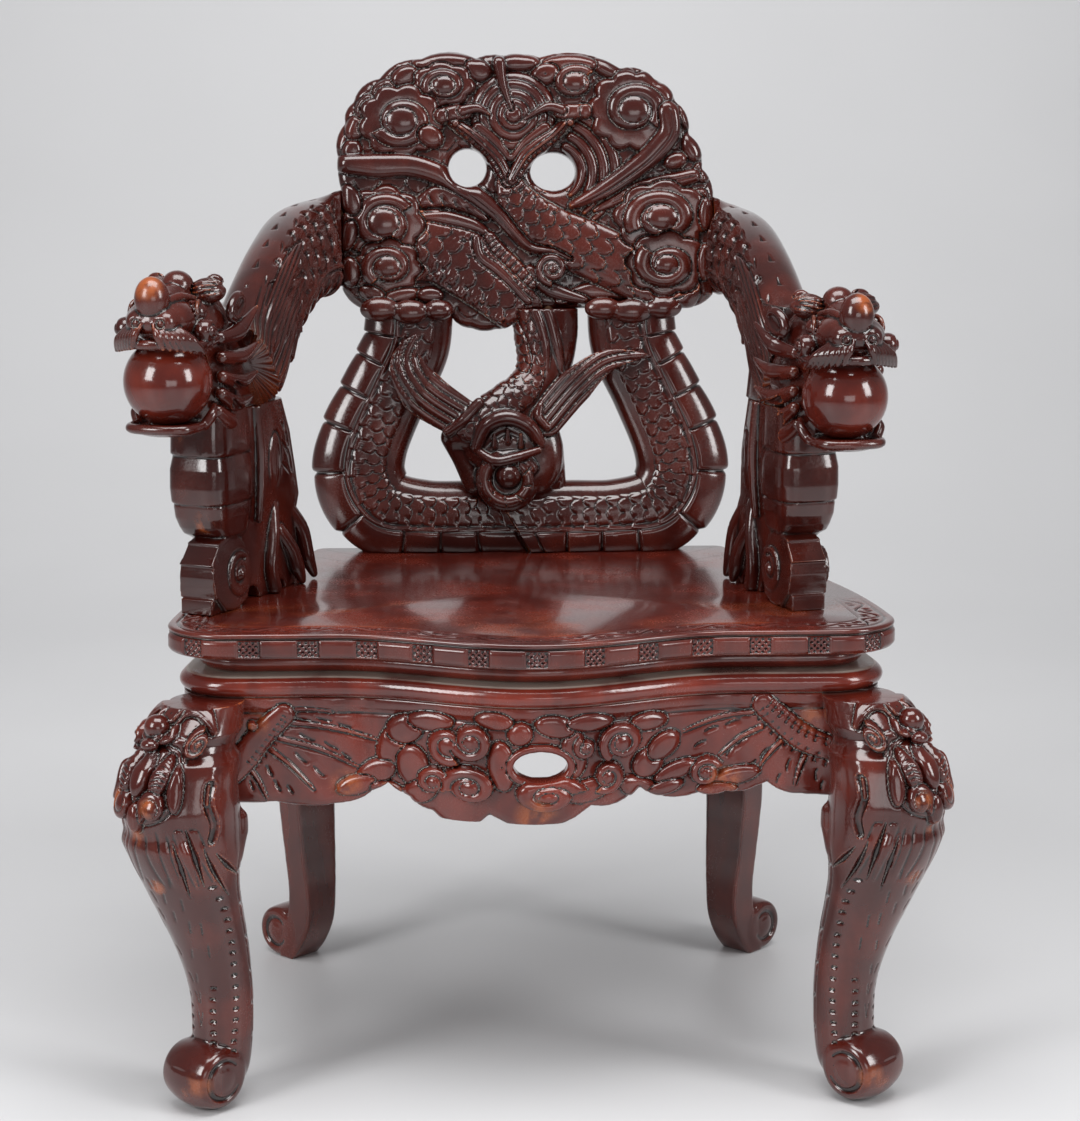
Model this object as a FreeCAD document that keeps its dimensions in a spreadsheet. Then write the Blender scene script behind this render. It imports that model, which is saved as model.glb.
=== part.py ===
import FreeCAD, Part
import math
import os
from types import SimpleNamespace

from FreeCAD import Placement, Rotation, Vector

# Carved dragon armchair. Millimetres, +Z up, the chair faces -Y, left is -X.
# Each piece is one document object; its label is also the name of its STEP file.

# Driving dimensions: alias, value, meaning
SIZES = (
    ("seat_top", 460, "height of the seat's top face"),
    ("seat_thickness", 24, "thickness of the seat board"),
    ("seat_half_width", 345, "half the seat's greatest width"),
    ("seat_front", 203, "seat's front line at the corners, from the middle"),
    ("seat_bow", 54, "how far the middle of the front bows out"),
    ("seat_bow_half_width", 190, "half the width of the bow"),
    ("seat_corner", 60, "radius of the front corners"),
    ("seat_rear", 238, "seat's rear edge, from the middle"),
    ("seat_rear_half_width", 216, "half the seat's width at the rear"),
    ("seat_rear_corner", 24, "radius of the rear corners"),
    ("seat_side_bulge", 25, "bulge of the sides beyond a straight line"),
    ("upper_moulding_height", 20, "height of the upper moulding"),
    ("upper_moulding_inset", 27, "upper moulding's fullest line, inside the seat's edge"),
    ("lower_moulding_height", 20, "height of the lower moulding"),
    ("lower_moulding_inset", 9, "lower moulding's fullest line, inside the seat's edge"),
    ("moulding_round", 8, "how far the mouldings round back above and below"),
    ("moulding_front_depth", 85, "front line of the opening in the mouldings, behind seat_front"),
    ("moulding_rear_depth", 72, "rear line of that opening, in front of seat_rear"),
    ("moulding_side_depth", 95, "side lines of that opening, inside the seat's sides"),
    ("apron_inset", 13, "apron faces inside the seat's edge"),
    ("apron_thickness", 22, "thickness of the aprons"),
    ("apron_depth", 96, "height of the aprons at their ends"),
    ("apron_hole_half_width", 25, "half width of the hole in the front apron"),
    ("apron_hole_half_height", 14, "half height of that hole"),
    ("tenon_length", 15, "length of the apron tenons"),
    ("tenon_thickness", 9, "thickness of the apron tenons"),
    ("tenon_height", 34, "height of the apron tenons"),
    ("front_leg_inset", 46, "ankle of the front legs, inside the seat's sides"),
    ("front_leg_setback", 18, "ankle of the front legs, behind the seat's front line"),
    ("front_ankle_radius", 30, "radius of the front ankles"),
    ("front_knee_radius", 57, "radius of the front knees"),
    ("front_knee_reach", 49, "how far the knees stand out beyond the ankles"),
    ("front_roll_radius", 33, "radius of the front scroll feet"),
    ("front_roll_length", 64, "length of the front scroll feet"),
    ("back_leg_inset", 10, "top of the back legs, inside the seat's sides at the rear"),
    ("back_leg_setback", 48, "top of the back legs, in front of the seat's rear edge"),
    ("back_leg_half_width", 28, "half the width of the back legs"),
    ("back_leg_half_thickness", 12, "half the thickness of the back legs below the frame"),
    ("back_roll_radius", 28, "radius of the back scroll feet"),
    ("back_roll_length", 44, "length of the back scroll feet"),
    ("roll_flat", 3, "depth that the flat under a foot is cut into its scroll"),
    ("back_front", 198, "front of the back at the seat, from the middle"),
    ("back_rake", 4, "rake of the back in degrees"),
    ("back_thickness", 42, "thickness of the back"),
    ("body_top", 262, "height of the joint between back bodies and crest"),
    ("body_top_x", 121, "middle of a back body at the crest"),
    ("body_bulge_x", 170, "middle of a back body where it bulges"),
    ("body_half_width", 45, "half the width of a back body"),
    ("body_bottom_half", 33, "half the height of a back body along the seat"),
    ("body_meet_x", -8, "joint of the two back bodies at the seat"),
    ("crest_height", 524, "height of the crest's cloud edge above the seat"),
    ("crest_half_width", 193, "half the width of the crest's cloud edge"),
    ("crest_hole_radius", 20, "radius of the two holes in the crest"),
    ("left_joint_inset", 121, "joint of left arm and crest, inside the support's front foot"),
    ("left_joint_z", 795, "joint of left arm and crest, height"),
    ("right_joint_inset", 57, "joint of right arm and crest, inside the support's front foot"),
    ("right_joint_z", 787, "joint of right arm and crest, height"),
    ("arm_half_height", 51, "half the height of the arms at the crest"),
    ("arm_half_thickness", 30, "half the thickness of the arms"),
    ("left_neck_inset", 38, "front end of the left arm, inside its support's front foot"),
    ("right_neck_inset", 12, "front end of the right arm, inside its support's front foot"),
    ("neck_y", 55, "front end of the arms, forwards"),
    ("left_foot_inset", 34, "front foot of the left support, inside the seat's side"),
    ("right_foot_inset", 81, "front foot of the right support, inside the seat's side"),
    ("foot_y", 80, "front feet of the supports, forwards"),
    ("left_claw_inset", 75, "rear claw of the left support, inside its front foot"),
    ("right_claw_inset", 42, "rear claw of the right support, inside its front foot"),
    ("claw_y", 75, "rear claws of the supports, rearwards"),
    ("crest_ground", 8, "depth of the crest's ground behind the front of the back"),
    ("support_half_width", 29, "half the width of the supports"),
    ("support_height", 195, "height of the supports"),
    ("pearl_outset", 26, "pearls outside the supports' front feet"),
    ("left_pearl_z", 692, "left pearl, height"),
    ("left_pearl_radius", 41, "radius of the left pearl"),
    ("right_pearl_z", 675, "right pearl, height"),
    ("right_pearl_radius", 40, "radius of the right pearl"),
    ("pearl_y", 170, "pearls, forwards"),
    ("pearl_clearance", 0.5, "gap between a pearl and its mouth"),
    ("head_length", 95, "pearl's middle to the joint of head and neck"),
    ("head_half_width", 44, "half the width of the heads"),
    ("head_height", 98, "top of the nose above the pearl's middle"),
    ("head_front", 30, "front of the head beyond the pearl's middle"),
    ("jaw_drop", 54, "underside of the jaw below the pearl's middle"),
    ("mouth_floor", 37, "floor of the mouth below the pearl's middle"),
    ("mouth_roof", 29, "roof of the mouth above the pearl's middle"),
    ("mouth_depth", 36, "back of the mouth behind the pearl's middle"),
    ("dowel_diameter", 10, "diameter of the dowels"),
    ("dowel_depth", 18, "depth of a dowel in either piece"),
    ("dowel_end_gap", 1, "gap at the ends of a dowel"),
    ("fit_clearance", 0.15, "gap around tenons and dowels"),
    ("seat_tenon_depth", 18, "depth of the tenons in the seat board"),
    ("seat_tenon_width", 20, "thickness of the tenons in the seat board"),
    ("seat_tenon_length", 56, "length of the tenons in the seat board"),
    ("bearer_x", 105, "seat bearers, sideways"),
    ("bearer_width", 42, "width of the seat bearers"),
    ("bearer_height", 28, "height of the seat bearers"),
    ("block_height", 36, "height of the corner blocks"),
    ("block_reach", 84, "length of the corner blocks along an apron"),
    ("block_chamfer", 42, "corner cut off a block to clear the leg"),
    ("screw_diameter", 4.5, "diameter of the screws"),
    ("screw_head_diameter", 9, "diameter of the screw heads"),
    ("screw_grip", 12, "depth of the screws in the piece above"),
)

doc = FreeCAD.newDocument("DragonArmchair")
sheet = doc.addObject("Spreadsheet::Sheet", "Sizes")
for row, (alias, value, meaning) in enumerate(SIZES, 1):
    sheet.set("A%d" % row, meaning)
    sheet.set("B%d" % row, str(value))
    sheet.setAlias("B%d" % row, alias)
doc.recompute()
d = SimpleNamespace(**{alias: float(sheet.get(alias)) for alias, value, meaning in SIZES})

X = Vector(1, 0, 0)
Y = Vector(0, 1, 0)
Z = Vector(0, 0, 1)
FAR = 1000

# Levels that several pieces share
seat_bottom = d.seat_top - d.seat_thickness
upper_bottom = seat_bottom - d.upper_moulding_height
frame_bottom = upper_bottom - d.lower_moulding_height
apron_bottom = frame_bottom - d.apron_depth
apron_back = d.apron_inset + d.apron_thickness
support_top = d.seat_top + d.support_height
tenon_line = d.apron_inset + d.apron_thickness / 2
front_leg_x = d.seat_half_width - d.front_leg_inset
front_leg_y = d.seat_front - d.front_leg_setback
back_leg_x = d.seat_rear_half_width - d.back_leg_inset
back_leg_y = d.seat_rear - d.back_leg_setback
left_foot_x = d.seat_half_width - d.left_foot_inset
right_foot_x = d.seat_half_width - d.right_foot_inset
left_joint_x = left_foot_x - d.left_joint_inset
right_joint_x = right_foot_x - d.right_joint_inset

pieces = {}


def keep(label, shape):
    """Add a finished shape to the document as a named piece."""
    shape = shape.removeSplitter()
    feature = doc.addObject("Part::Feature", label)
    feature.Label = label
    feature.Shape = shape
    pieces[label] = feature
    return feature


def mirrored(shape):
    """The same shape on the other side of the chair."""
    return shape.mirror(Vector(0, 0, 0), X)


def box(x0, x1, y0, y1, z0, z1):
    """Box between two corners."""
    return Part.makeBox(x1 - x0, y1 - y0, z1 - z0, Vector(x0, y0, z0))


def prism(points, z0, z1):
    """Upright prism over a plan of (x, y) points."""
    corners = [Vector(x, y, z0) for x, y in points]
    face = Part.Face(Part.makePolygon(corners + corners[:1]))
    return face.extrude(Vector(0, 0, z1 - z0))


def rod(start, end, radius):
    """Round rod from start to end."""
    way = end - start
    return Part.makeCylinder(radius, way.Length, start, way)


def ring_wire(middle, across, along, half_across, half_along, squareness=1.0):
    """Closed smooth section; a squareness under 1 fills out the corners of the oval."""
    points = []
    for step in range(12):
        angle = math.pi * step / 6
        a = math.copysign(abs(math.cos(angle)) ** squareness, math.cos(angle))
        b = math.copysign(abs(math.sin(angle)) ** squareness, math.sin(angle))
        points.append(middle + across * (a * half_across) + along * (b * half_along))
    curve = Part.BSplineCurve()
    curve.interpolate(points, True)
    return Part.Wire(curve.toShape())


def loft(wires):
    """Smooth solid through a row of sections."""
    return Part.makeLoft(wires, True, False)


def outline_face(points, place):
    """Face inside (a, b, bulge) points; a bulge bends the stretch to the next point into an arc."""
    edges = []
    for (a, b, bulge), (a2, b2, unused) in zip(points, points[1:] + points[:1]):
        start, end = place(a, b), place(a2, b2)
        if bulge:
            middle = place((a + a2) / 2 - bulge * (b2 - b), (b + b2) / 2 + bulge * (a2 - a))
            edges.append(Part.Arc(start, middle, end).toShape())
        else:
            edges.append(Part.makeLine(start, end))
    return Part.Face(Part.Wire(edges))


def bow(x):
    """How far the seat's front bows out at x."""
    if abs(x) >= d.seat_bow_half_width:
        return 0.0
    return d.seat_bow * 0.5 * (1 + math.cos(math.pi * x / d.seat_bow_half_width))


def plan_outline(inset, z):
    """Closed outline of the seat's plan at height z, moved inwards by inset."""
    half = d.seat_half_width - inset
    front = inset - d.seat_front
    rear = d.seat_rear - inset
    corner = max(d.seat_corner - 0.6 * inset, 10)
    rear_corner = max(d.seat_rear_corner - 0.4 * inset, 6)
    rear_half = d.seat_rear_half_width - 0.85 * inset
    straight = half - corner
    side_end = rear - rear_corner
    middle_y = (front + corner + side_end) / 2
    middle_x = (half + rear_half) / 2 + d.seat_side_bulge
    right = [
        (straight, front), (half - 0.293 * corner, front + 0.293 * corner), (half, front + corner),
        (middle_x, middle_y), (rear_half, side_end),
        (rear_half - 0.3 * rear_corner, rear - 0.3 * rear_corner), (rear_half - rear_corner, rear),
    ]
    bends = [Vector(x, y, z) for x, y in right]
    others = [Vector(-x, y, z) for x, y in right]
    edges = [Part.Arc(*bends[i:i + 3]).toShape() for i in (0, 2, 4)]
    edges.append(Part.makeLine(bends[6], others[6]))
    edges += [Part.Arc(others[i], others[i - 1], others[i - 2]).toShape() for i in (6, 4, 2)]
    steps = [straight * step / 6 for step in range(-6, 7)]
    curve = Part.BSplineCurve()
    curve.interpolate([Vector(x, front - bow(x), z) for x in steps])
    edges.append(curve.toShape())
    return Part.Wire(edges)


def plan_slab(inset, z0, z1):
    """Slab with the seat's plan, moved inwards by inset."""
    return Part.Face(plan_outline(inset, z0)).extrude(Vector(0, 0, z1 - z0))


def side_x(inset, y):
    """How far out the seat's side lies at y, moved inwards by inset."""
    return plan_slab(inset, 0, 1).common(box(0, FAR, y - 0.5, y + 0.5, 0, 1)).BoundBox.XMax


def plan_band(inset, depth, z0, z1):
    """Upright band that follows the seat's plan."""
    return plan_slab(inset, z0, z1).cut(plan_slab(inset + depth, z0, z1))


# Mouldings: two rings under the seat, each mitred into four lengths
opening_front = d.moulding_front_depth - d.seat_front
opening_rear = d.seat_rear - d.moulding_rear_depth
opening_front_half = d.seat_half_width - d.moulding_side_depth
opening_rear_half = d.seat_rear_half_width - d.moulding_side_depth / 1.5
frame_opening = prism(
    [(-opening_front_half, opening_front), (opening_front_half, opening_front),
     (opening_rear_half, opening_rear), (-opening_rear_half, opening_rear)], frame_bottom, seat_bottom)


def moulding_ring(top, height, inset):
    """One rounded ring under the seat, with the frame's opening in it."""
    levels = ((0, d.moulding_round), (0.2, 0.3 * d.moulding_round), (0.5, 0),
              (0.8, 0.3 * d.moulding_round), (1, d.moulding_round))
    ring = loft([plan_outline(inset + back, top - share * height) for share, back in levels])
    return ring.cut(frame_opening)


def mitre_wedges(z0, z1):
    """Plan wedges that cut a ring into its four lengths."""
    front_out = (d.seat_half_width + 60, -d.seat_front - 60)
    front_in = (0.9 * opening_front_half, opening_front + 0.1 * opening_front_half)
    rear_out = (d.seat_rear_half_width + 60, d.seat_rear + 60)
    rear_in = (0.75 * opening_rear_half, opening_rear - 0.25 * opening_rear_half)
    right = [front_out, (FAR, front_out[1]), (FAR, rear_out[1]), rear_out, rear_in, front_in]
    front = [front_out, front_in, (-front_in[0], front_in[1]), (-front_out[0], front_out[1]),
             (-front_out[0], -FAR), (front_out[0], -FAR)]
    back = [rear_out, (rear_out[0], FAR), (-rear_out[0], FAR), (-rear_out[0], rear_out[1]),
            (-rear_in[0], rear_in[1]), rear_in]
    left = [(-x, y) for x, y in right]
    plans = (("front", front), ("right", right), ("back", back), ("left", left))
    return {name: prism(plan, z0, z1) for name, plan in plans}


for level, top, height, inset in (
        ("upper", seat_bottom, d.upper_moulding_height, d.upper_moulding_inset),
        ("lower", upper_bottom, d.lower_moulding_height, d.lower_moulding_inset)):
    ring = moulding_ring(top, height, inset)
    for side, wedge in mitre_wedges(top - height - 1, top + 1).items():
        keep("%s_%s_moulding" % (side, level), ring.common(wedge))

# Aprons: bands under the mouldings, cut to their carved lower edges
apron_band = plan_band(d.apron_inset, d.apron_thickness, apron_bottom - 60, frame_bottom)
front_end_x = front_leg_x - 5
side_start_y = 11 - front_leg_y
side_end_y = back_leg_y - 8
front_tenon_z = frame_bottom - 10 - d.tenon_height
side_tenon_z = front_tenon_z - 8 - d.tenon_height
front_tenon_y = tenon_line - d.seat_front
rear_tenon_x = side_x(tenon_line, side_end_y)
rear_apron_front = back_leg_y - 6
side_slot_x = d.seat_half_width - apron_back - 8
side_tenon_x = side_slot_x + 0.5 * d.apron_thickness - 1


def front_apron():
    """Front apron with its cloud edge and oval hole."""
    clouds = [
        (1, -0.09, 0), (0.86, -0.05, 0.1), (0.755, 0.073, 0.05), (0.72, 0.03, 0.1), (0.62, 0, 0.1),
        (0.53, 0, 0.12), (0.333, 0.156, 0.14), (0.177, 0.02, 0.13), (-0.146, -0.03, 0.18), (-0.33, -0.07, 0.1),
        (-0.4, 0.03, 0.06), (-0.47, 0.145, 0.05), (-0.51, 0.07, 0.12), (-0.64, -0.1, 0.06),
        (-0.83, -0.08, 0), (-1, -0.09, 0), (-1, 1, 0), (1, 1, 0),
    ]
    face = outline_face(clouds, lambda share, rise: Vector(
        share * front_end_x, -FAR, apron_bottom + rise * d.apron_depth))
    apron = face.extrude(Vector(0, FAR + apron_back - d.seat_front, 0)).common(apron_band)
    middle = Vector(0.014 * front_end_x, -FAR, apron_bottom + 0.417 * d.apron_depth)
    hole = ring_wire(middle, X, Z, d.apron_hole_half_width, d.apron_hole_half_height)
    apron = apron.cut(Part.Face(hole).extrude(Vector(0, FAR, 0)))
    for side in (-1, 1):
        apron = apron.fuse(front_tenon(side, 0))
    return apron


def front_tenon(side, gap):
    """Tenon of the front apron, or its mortise when there is a gap."""
    ends = sorted((side * (front_end_x - 4), side * (front_end_x + d.tenon_length + gap)))
    half = d.tenon_thickness / 2 + gap
    return box(ends[0], ends[1], front_tenon_y - half, front_tenon_y + half,
               front_tenon_z - gap, front_tenon_z + d.tenon_height + gap)


def side_front_tenon(gap):
    """Tenon of the left apron in the front leg, or its mortise."""
    half = d.tenon_thickness / 2 + gap
    return box(-side_tenon_x - half, -side_tenon_x + half, side_start_y - d.tenon_length - gap,
               side_start_y + 4, side_tenon_z - gap, side_tenon_z + d.tenon_height + gap)


def side_rear_tenon(gap):
    """Tenon of the left apron in the back leg, or its mortise."""
    half = d.tenon_thickness / 2 + gap
    return box(-rear_tenon_x - half, -rear_tenon_x + half, side_end_y - 4,
               side_end_y + d.tenon_length + gap, side_tenon_z - gap,
               side_tenon_z + d.tenon_height + gap)


def side_apron():
    """Left apron with its carved lower edge."""
    clouds = [
        (1, 0.229, -0.2), (0.81, 0.167, 0.15), (0.66, 0.083, 0.22), (0.49, -0.042, 0.22),
        (0.31, 0.083, -0.2), (0.17, 0.125, 0.08), (0, 0, 0), (0, 1, 0), (1, 1, 0),
    ]
    run = side_end_y - side_start_y
    face = outline_face(clouds, lambda share, rise: Vector(
        -FAR, side_start_y + share * run, apron_bottom + rise * d.apron_depth))
    apron = face.extrude(Vector(FAR, 0, 0)).common(apron_band)
    apron = apron.cut(box(-side_slot_x, 0, -FAR, apron_back - d.seat_front + 2, 0, FAR))
    return apron.fuse(side_front_tenon(0)).fuse(side_rear_tenon(0))


def back_apron_end():
    """Half the length of the back apron between the legs."""
    return back_leg_x - 8


def back_tenon(side, gap):
    """Tenon of the back apron, or its mortise."""
    ends = sorted((side * (back_apron_end() - 4), side * (back_apron_end() + d.tenon_length + gap)))
    middle = rear_apron_front + d.apron_thickness / 2
    half = d.tenon_thickness / 2 + gap
    return box(ends[0], ends[1], middle - half, middle + half,
               front_tenon_z - gap, front_tenon_z + d.tenon_height + gap)


def back_apron():
    """Plain back apron with an arched lower edge."""
    end = back_apron_end()
    arch = [(1, 0.31, 0), (0.75, 0.31, -0.08), (-0.75, 0.31, 0), (-1, 0.31, 0), (-1, 1, 0), (1, 1, 0)]
    face = outline_face(arch, lambda share, rise: Vector(
        share * end, rear_apron_front, apron_bottom + rise * d.apron_depth))
    apron = face.extrude(Vector(0, d.apron_thickness, 0))
    return apron.fuse(back_tenon(-1, 0)).fuse(back_tenon(1, 0))


keep("front_apron", front_apron())
left_apron_shape = side_apron()
keep("left_apron", left_apron_shape)
keep("right_apron", mirrored(left_apron_shape))
keep("back_apron", back_apron())

# Legs: the left ones are built and the right ones mirrored
diagonal = math.sqrt(0.5)


def front_leg():
    """Left front leg with knee, ankle and scroll foot."""
    outward = Vector(-diagonal, -diagonal, 0)
    ankle = Vector(-front_leg_x, -front_leg_y, 0)
    slim, full, reach = d.front_ankle_radius, d.front_knee_radius, d.front_knee_reach
    stations = (
        (1, 0.2 * reach, 0.67 * full), (0.934, 0.55 * reach, 0.86 * full), (0.861, 0.85 * reach, full),
        (0.778, 0.98 * reach, 1.01 * full), (0.72, 0.94 * reach, full), (0.644, 0.87 * reach, 0.94 * full),
        (0.568, 0.755 * reach, 0.825 * full), (0.492, 0.55 * reach, 1.4 * slim), (0.417, 0.337 * reach, 1.26 * slim),
        (0.341, 0.143 * reach, 1.107 * slim), (0.278, 0.03 * reach, 1.02 * slim), (0.227, 0, 0.98 * slim),
        (0.152, 0.03 * slim, 0.97 * slim), (0.071, 0.2 * slim, 0.9 * slim), (0.015, 0.53 * slim, 0.53 * slim),
        (0, 0.67 * slim, 0.37 * slim),
    )
    shaft = loft([ring_wire(ankle + outward * off + Z * (share * frame_bottom), X, Y, r, r)
                  for share, off, r in stations])
    roll_middle = ankle + outward * (0.8 * slim) + Z * (d.front_roll_radius - d.roll_flat)
    tangent = Vector(diagonal, -diagonal, 0)
    half = tangent * (d.front_roll_length / 2)
    leg = shaft.fuse(rod(roll_middle - half, roll_middle + half, d.front_roll_radius))
    leg = leg.cut(box(-FAR, 0, -FAR, 0, -FAR, 0))
    gap = d.fit_clearance
    leg = leg.cut(box(-front_end_x - gap, 0, -FAR, apron_back - d.seat_front + gap,
                      apron_bottom - 10, FAR))
    leg = leg.cut(box(-FAR, -side_slot_x, side_start_y - gap, 0, apron_bottom - 10, FAR))
    leg = leg.cut(front_tenon(-1, gap)).cut(side_front_tenon(gap))
    return leg.cut(left_apron_shape)


def back_leg():
    """Left back leg, a flat board set across the corner, with a scroll foot."""
    outward = Vector(-diagonal, diagonal, 0)
    tangent = Vector(diagonal, diagonal, 0)
    head = Vector(-back_leg_x, back_leg_y, 0)
    wide, thick = d.back_leg_half_width, d.back_leg_half_thickness
    stations = (
        (1, 0, 1.07, 2.2), (0.88, 0.38, 1.06, 2.1), (0.758, 0.84, 1.04, 1.9), (0.62, 1.26, 1.02, 1.67),
        (0.48, 1.5, 1, 1.42), (0.39, 1.46, 0.94, 1.38), (0.298, 1.36, 0.875, 1.33), (0.197, 1.29, 0.75, 1.42),
        (0.114, 1.43, 0.72, 1.5), (0.045, 1.79, 0.72, 1.25), (0, 2.14, 0.72, 0.83),
    )
    sections = []
    for share, off, across, deep in stations:
        middle = head + outward * (off * wide) + Z * (share * frame_bottom)
        a, b = tangent * (across * wide), outward * (deep * thick)
        corners = [middle + a + b, middle - a + b, middle - a - b, middle + a - b]
        sections.append(Part.makePolygon(corners + corners[:1]))
    roll_middle = head + outward * (2.66 * wide) + Z * (d.back_roll_radius - d.roll_flat)
    half = tangent * (d.back_roll_length / 2)
    leg = loft(sections).fuse(rod(roll_middle - half, roll_middle + half, d.back_roll_radius))
    leg = leg.cut(box(-FAR, 0, 0, FAR, -FAR, 0))
    gap = d.fit_clearance
    leg = leg.cut(box(-FAR, 0, 0, side_end_y + gap, apron_bottom - 10, FAR))
    leg = leg.cut(box(-back_apron_end() - gap, 0, 0, FAR, apron_bottom - 10, FAR))
    return leg.cut(side_rear_tenon(gap)).cut(back_tenon(-1, gap))


front_leg_shape = front_leg()
keep("front_left_leg", front_leg_shape)
keep("front_right_leg", mirrored(front_leg_shape))
back_leg_shape = back_leg()
keep("back_left_leg", back_leg_shape)
keep("back_right_leg", mirrored(back_leg_shape))

# Back: built upright on the seat's top, then raked about its front lower edge
back_place = Placement(Vector(0, d.back_front, d.seat_top), Rotation(X, -d.back_rake))
below_seat = box(-FAR, FAR, -FAR, FAR, -FAR, d.seat_top)
back_middle = d.back_thickness / 2


def back_point(x, depth, height):
    """Point of the raked back: sideways, depth behind its front, height along it."""
    return back_place.multVec(Vector(x, depth, height))


def raked(shape):
    """Turn a shape of the upright back into its place."""
    shape.Placement = back_place
    return shape


def back_sweep(path, from_crest=True):
    """Carved body through (x, height, half width, depth, half depth) stations of the back."""
    wires = []
    for i, (x, height, half, depth, half_depth) in enumerate(path):
        before, after = path[max(i - 1, 0)], path[min(i + 1, len(path) - 1)]
        along = Vector(after[0] - before[0], 0, after[1] - before[1])
        if i == 0 and from_crest:
            along = Vector(0, 0, -1)
        along.normalize()
        across = along.cross(Y)
        wires.append(ring_wire(Vector(x, depth, height), across, Y, half, half_depth))
    return loft(wires)


def back_body(side):
    """Dragon body that loops down one side of the back and along the seat."""
    wide, low = d.body_half_width, d.body_bottom_half
    bottom = low - 2
    meet = side * d.body_meet_x
    deep = back_middle + 1
    top, out = d.body_top, d.body_bulge_x
    path = [
        (d.body_top_x, top, wide), (0.2 * d.body_top_x + 0.593 * out, 0.847 * top, wide),
        (0.5 * d.body_top_x + 0.488 * out, 0.668 * top, 0.956 * wide), (0.976 * out, 0.45 * top, 0.978 * wide),
        (0.988 * out, 0.298 * top, 0.956 * wide), (0.835 * out, 0.172 * top, 0.867 * wide),
        (0.6 * out, bottom + 1, low), (0.306 * out, bottom, low), (meet, bottom, low),
    ]
    shape = back_sweep([(side * x, height, half, back_middle, deep) for x, height, half in path])
    return raked(shape).cut(below_seat)


def seat_tenon(middle, along, gap):
    """Tenon that stands in the seat board, or its mortise."""
    deep = d.seat_tenon_depth + gap
    length, width = d.seat_tenon_length + 2 * gap, d.seat_tenon_width + 2 * gap
    tenon = Part.makeBox(length, width, deep + 8 * (gap == 0), Vector(-length / 2, -width / 2, -deep))
    turn = Rotation(X, along)
    tenon.Placement = Placement(Vector(middle.x, middle.y, d.seat_top), turn)
    return tenon


body_tenon_x = 0.6 * d.body_bulge_x
body_tenon_y = back_point(0, back_middle, 0).y


def body_tenon(side, gap):
    """Tenon under a back body."""
    return seat_tenon(Vector(side * body_tenon_x, body_tenon_y, 0), X, gap)


def crest_rail():
    """Crest with its cloud edge, two holes and a lower lobe over the middle."""
    top, half, low = d.crest_height, d.crest_half_width, d.body_top
    left_low, left_high = joint_span(d.left_joint_z)
    right_low, right_high = joint_span(d.right_joint_z)
    lobe = 0.924 * low
    left_clouds = ((-1, 0.248, 0.14), (-0.959, 0.514, 0.16), (-0.912, 0.676, 0.16), (-0.767, 0.853, 0.12),
                   (-0.539, 0.985, 0.11), (-0.238, 0.985, 0.06), (-0.083, 1.015, 0.06))
    right_clouds = ((0.026, 1.014, 0.06), (0.109, 0.986, 0.1), (0.554, 0.917, 0.16), (0.741, 0.861, 0.14),
                    (0.86, 0.701, 0.14), (0.933, 0.457, 0.16), (1.005, 0.207, 0.12))
    edge = [(-left_joint_x, left_low, 0), (-left_joint_x, left_high, 0.05)]
    edge += [(x * half, left_high + rise * (top - left_high), bend) for x, rise, bend in left_clouds]
    edge += [(x * half, right_high + rise * (top - right_high), bend) for x, rise, bend in right_clouds]
    edge += [
        (right_joint_x, right_high, 0), (right_joint_x, right_low, 0.1),
        (1.48 * d.body_top_x, low, 0), (0.02 * d.body_top_x, low, -0.2), (-0.1 * d.body_top_x, lobe, 0.15),
        (-0.595 * d.body_top_x, lobe, -0.1), (-0.645 * d.body_top_x, low, 0), (-1.4 * d.body_top_x, low, 0.1),
    ]
    face = outline_face(edge, lambda across, height: Vector(across, d.crest_ground, height))
    crest = face.extrude(Vector(0, d.back_thickness - d.crest_ground, 0))
    within = face.extrude(Vector(0, -2 * d.crest_ground, 0))
    forms = crest_relief()
    crest = crest.fuse(forms[0].fuse(forms[1:]).common(within)).removeSplitter()
    for share, rise in ((-0.29, 0.576), (0.187, 0.553)):
        start = Vector(share * half, -d.back_thickness, low + rise * (top - low))
        crest = crest.cut(rod(start, start + Y * FAR, d.crest_hole_radius))
    return raked(crest)


def on_crest(across, rise, depth):
    """Place on the crest from shares of its half width and height."""
    return Vector(across * d.crest_half_width, depth, d.body_top + rise * (d.crest_height - d.body_top))


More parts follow.
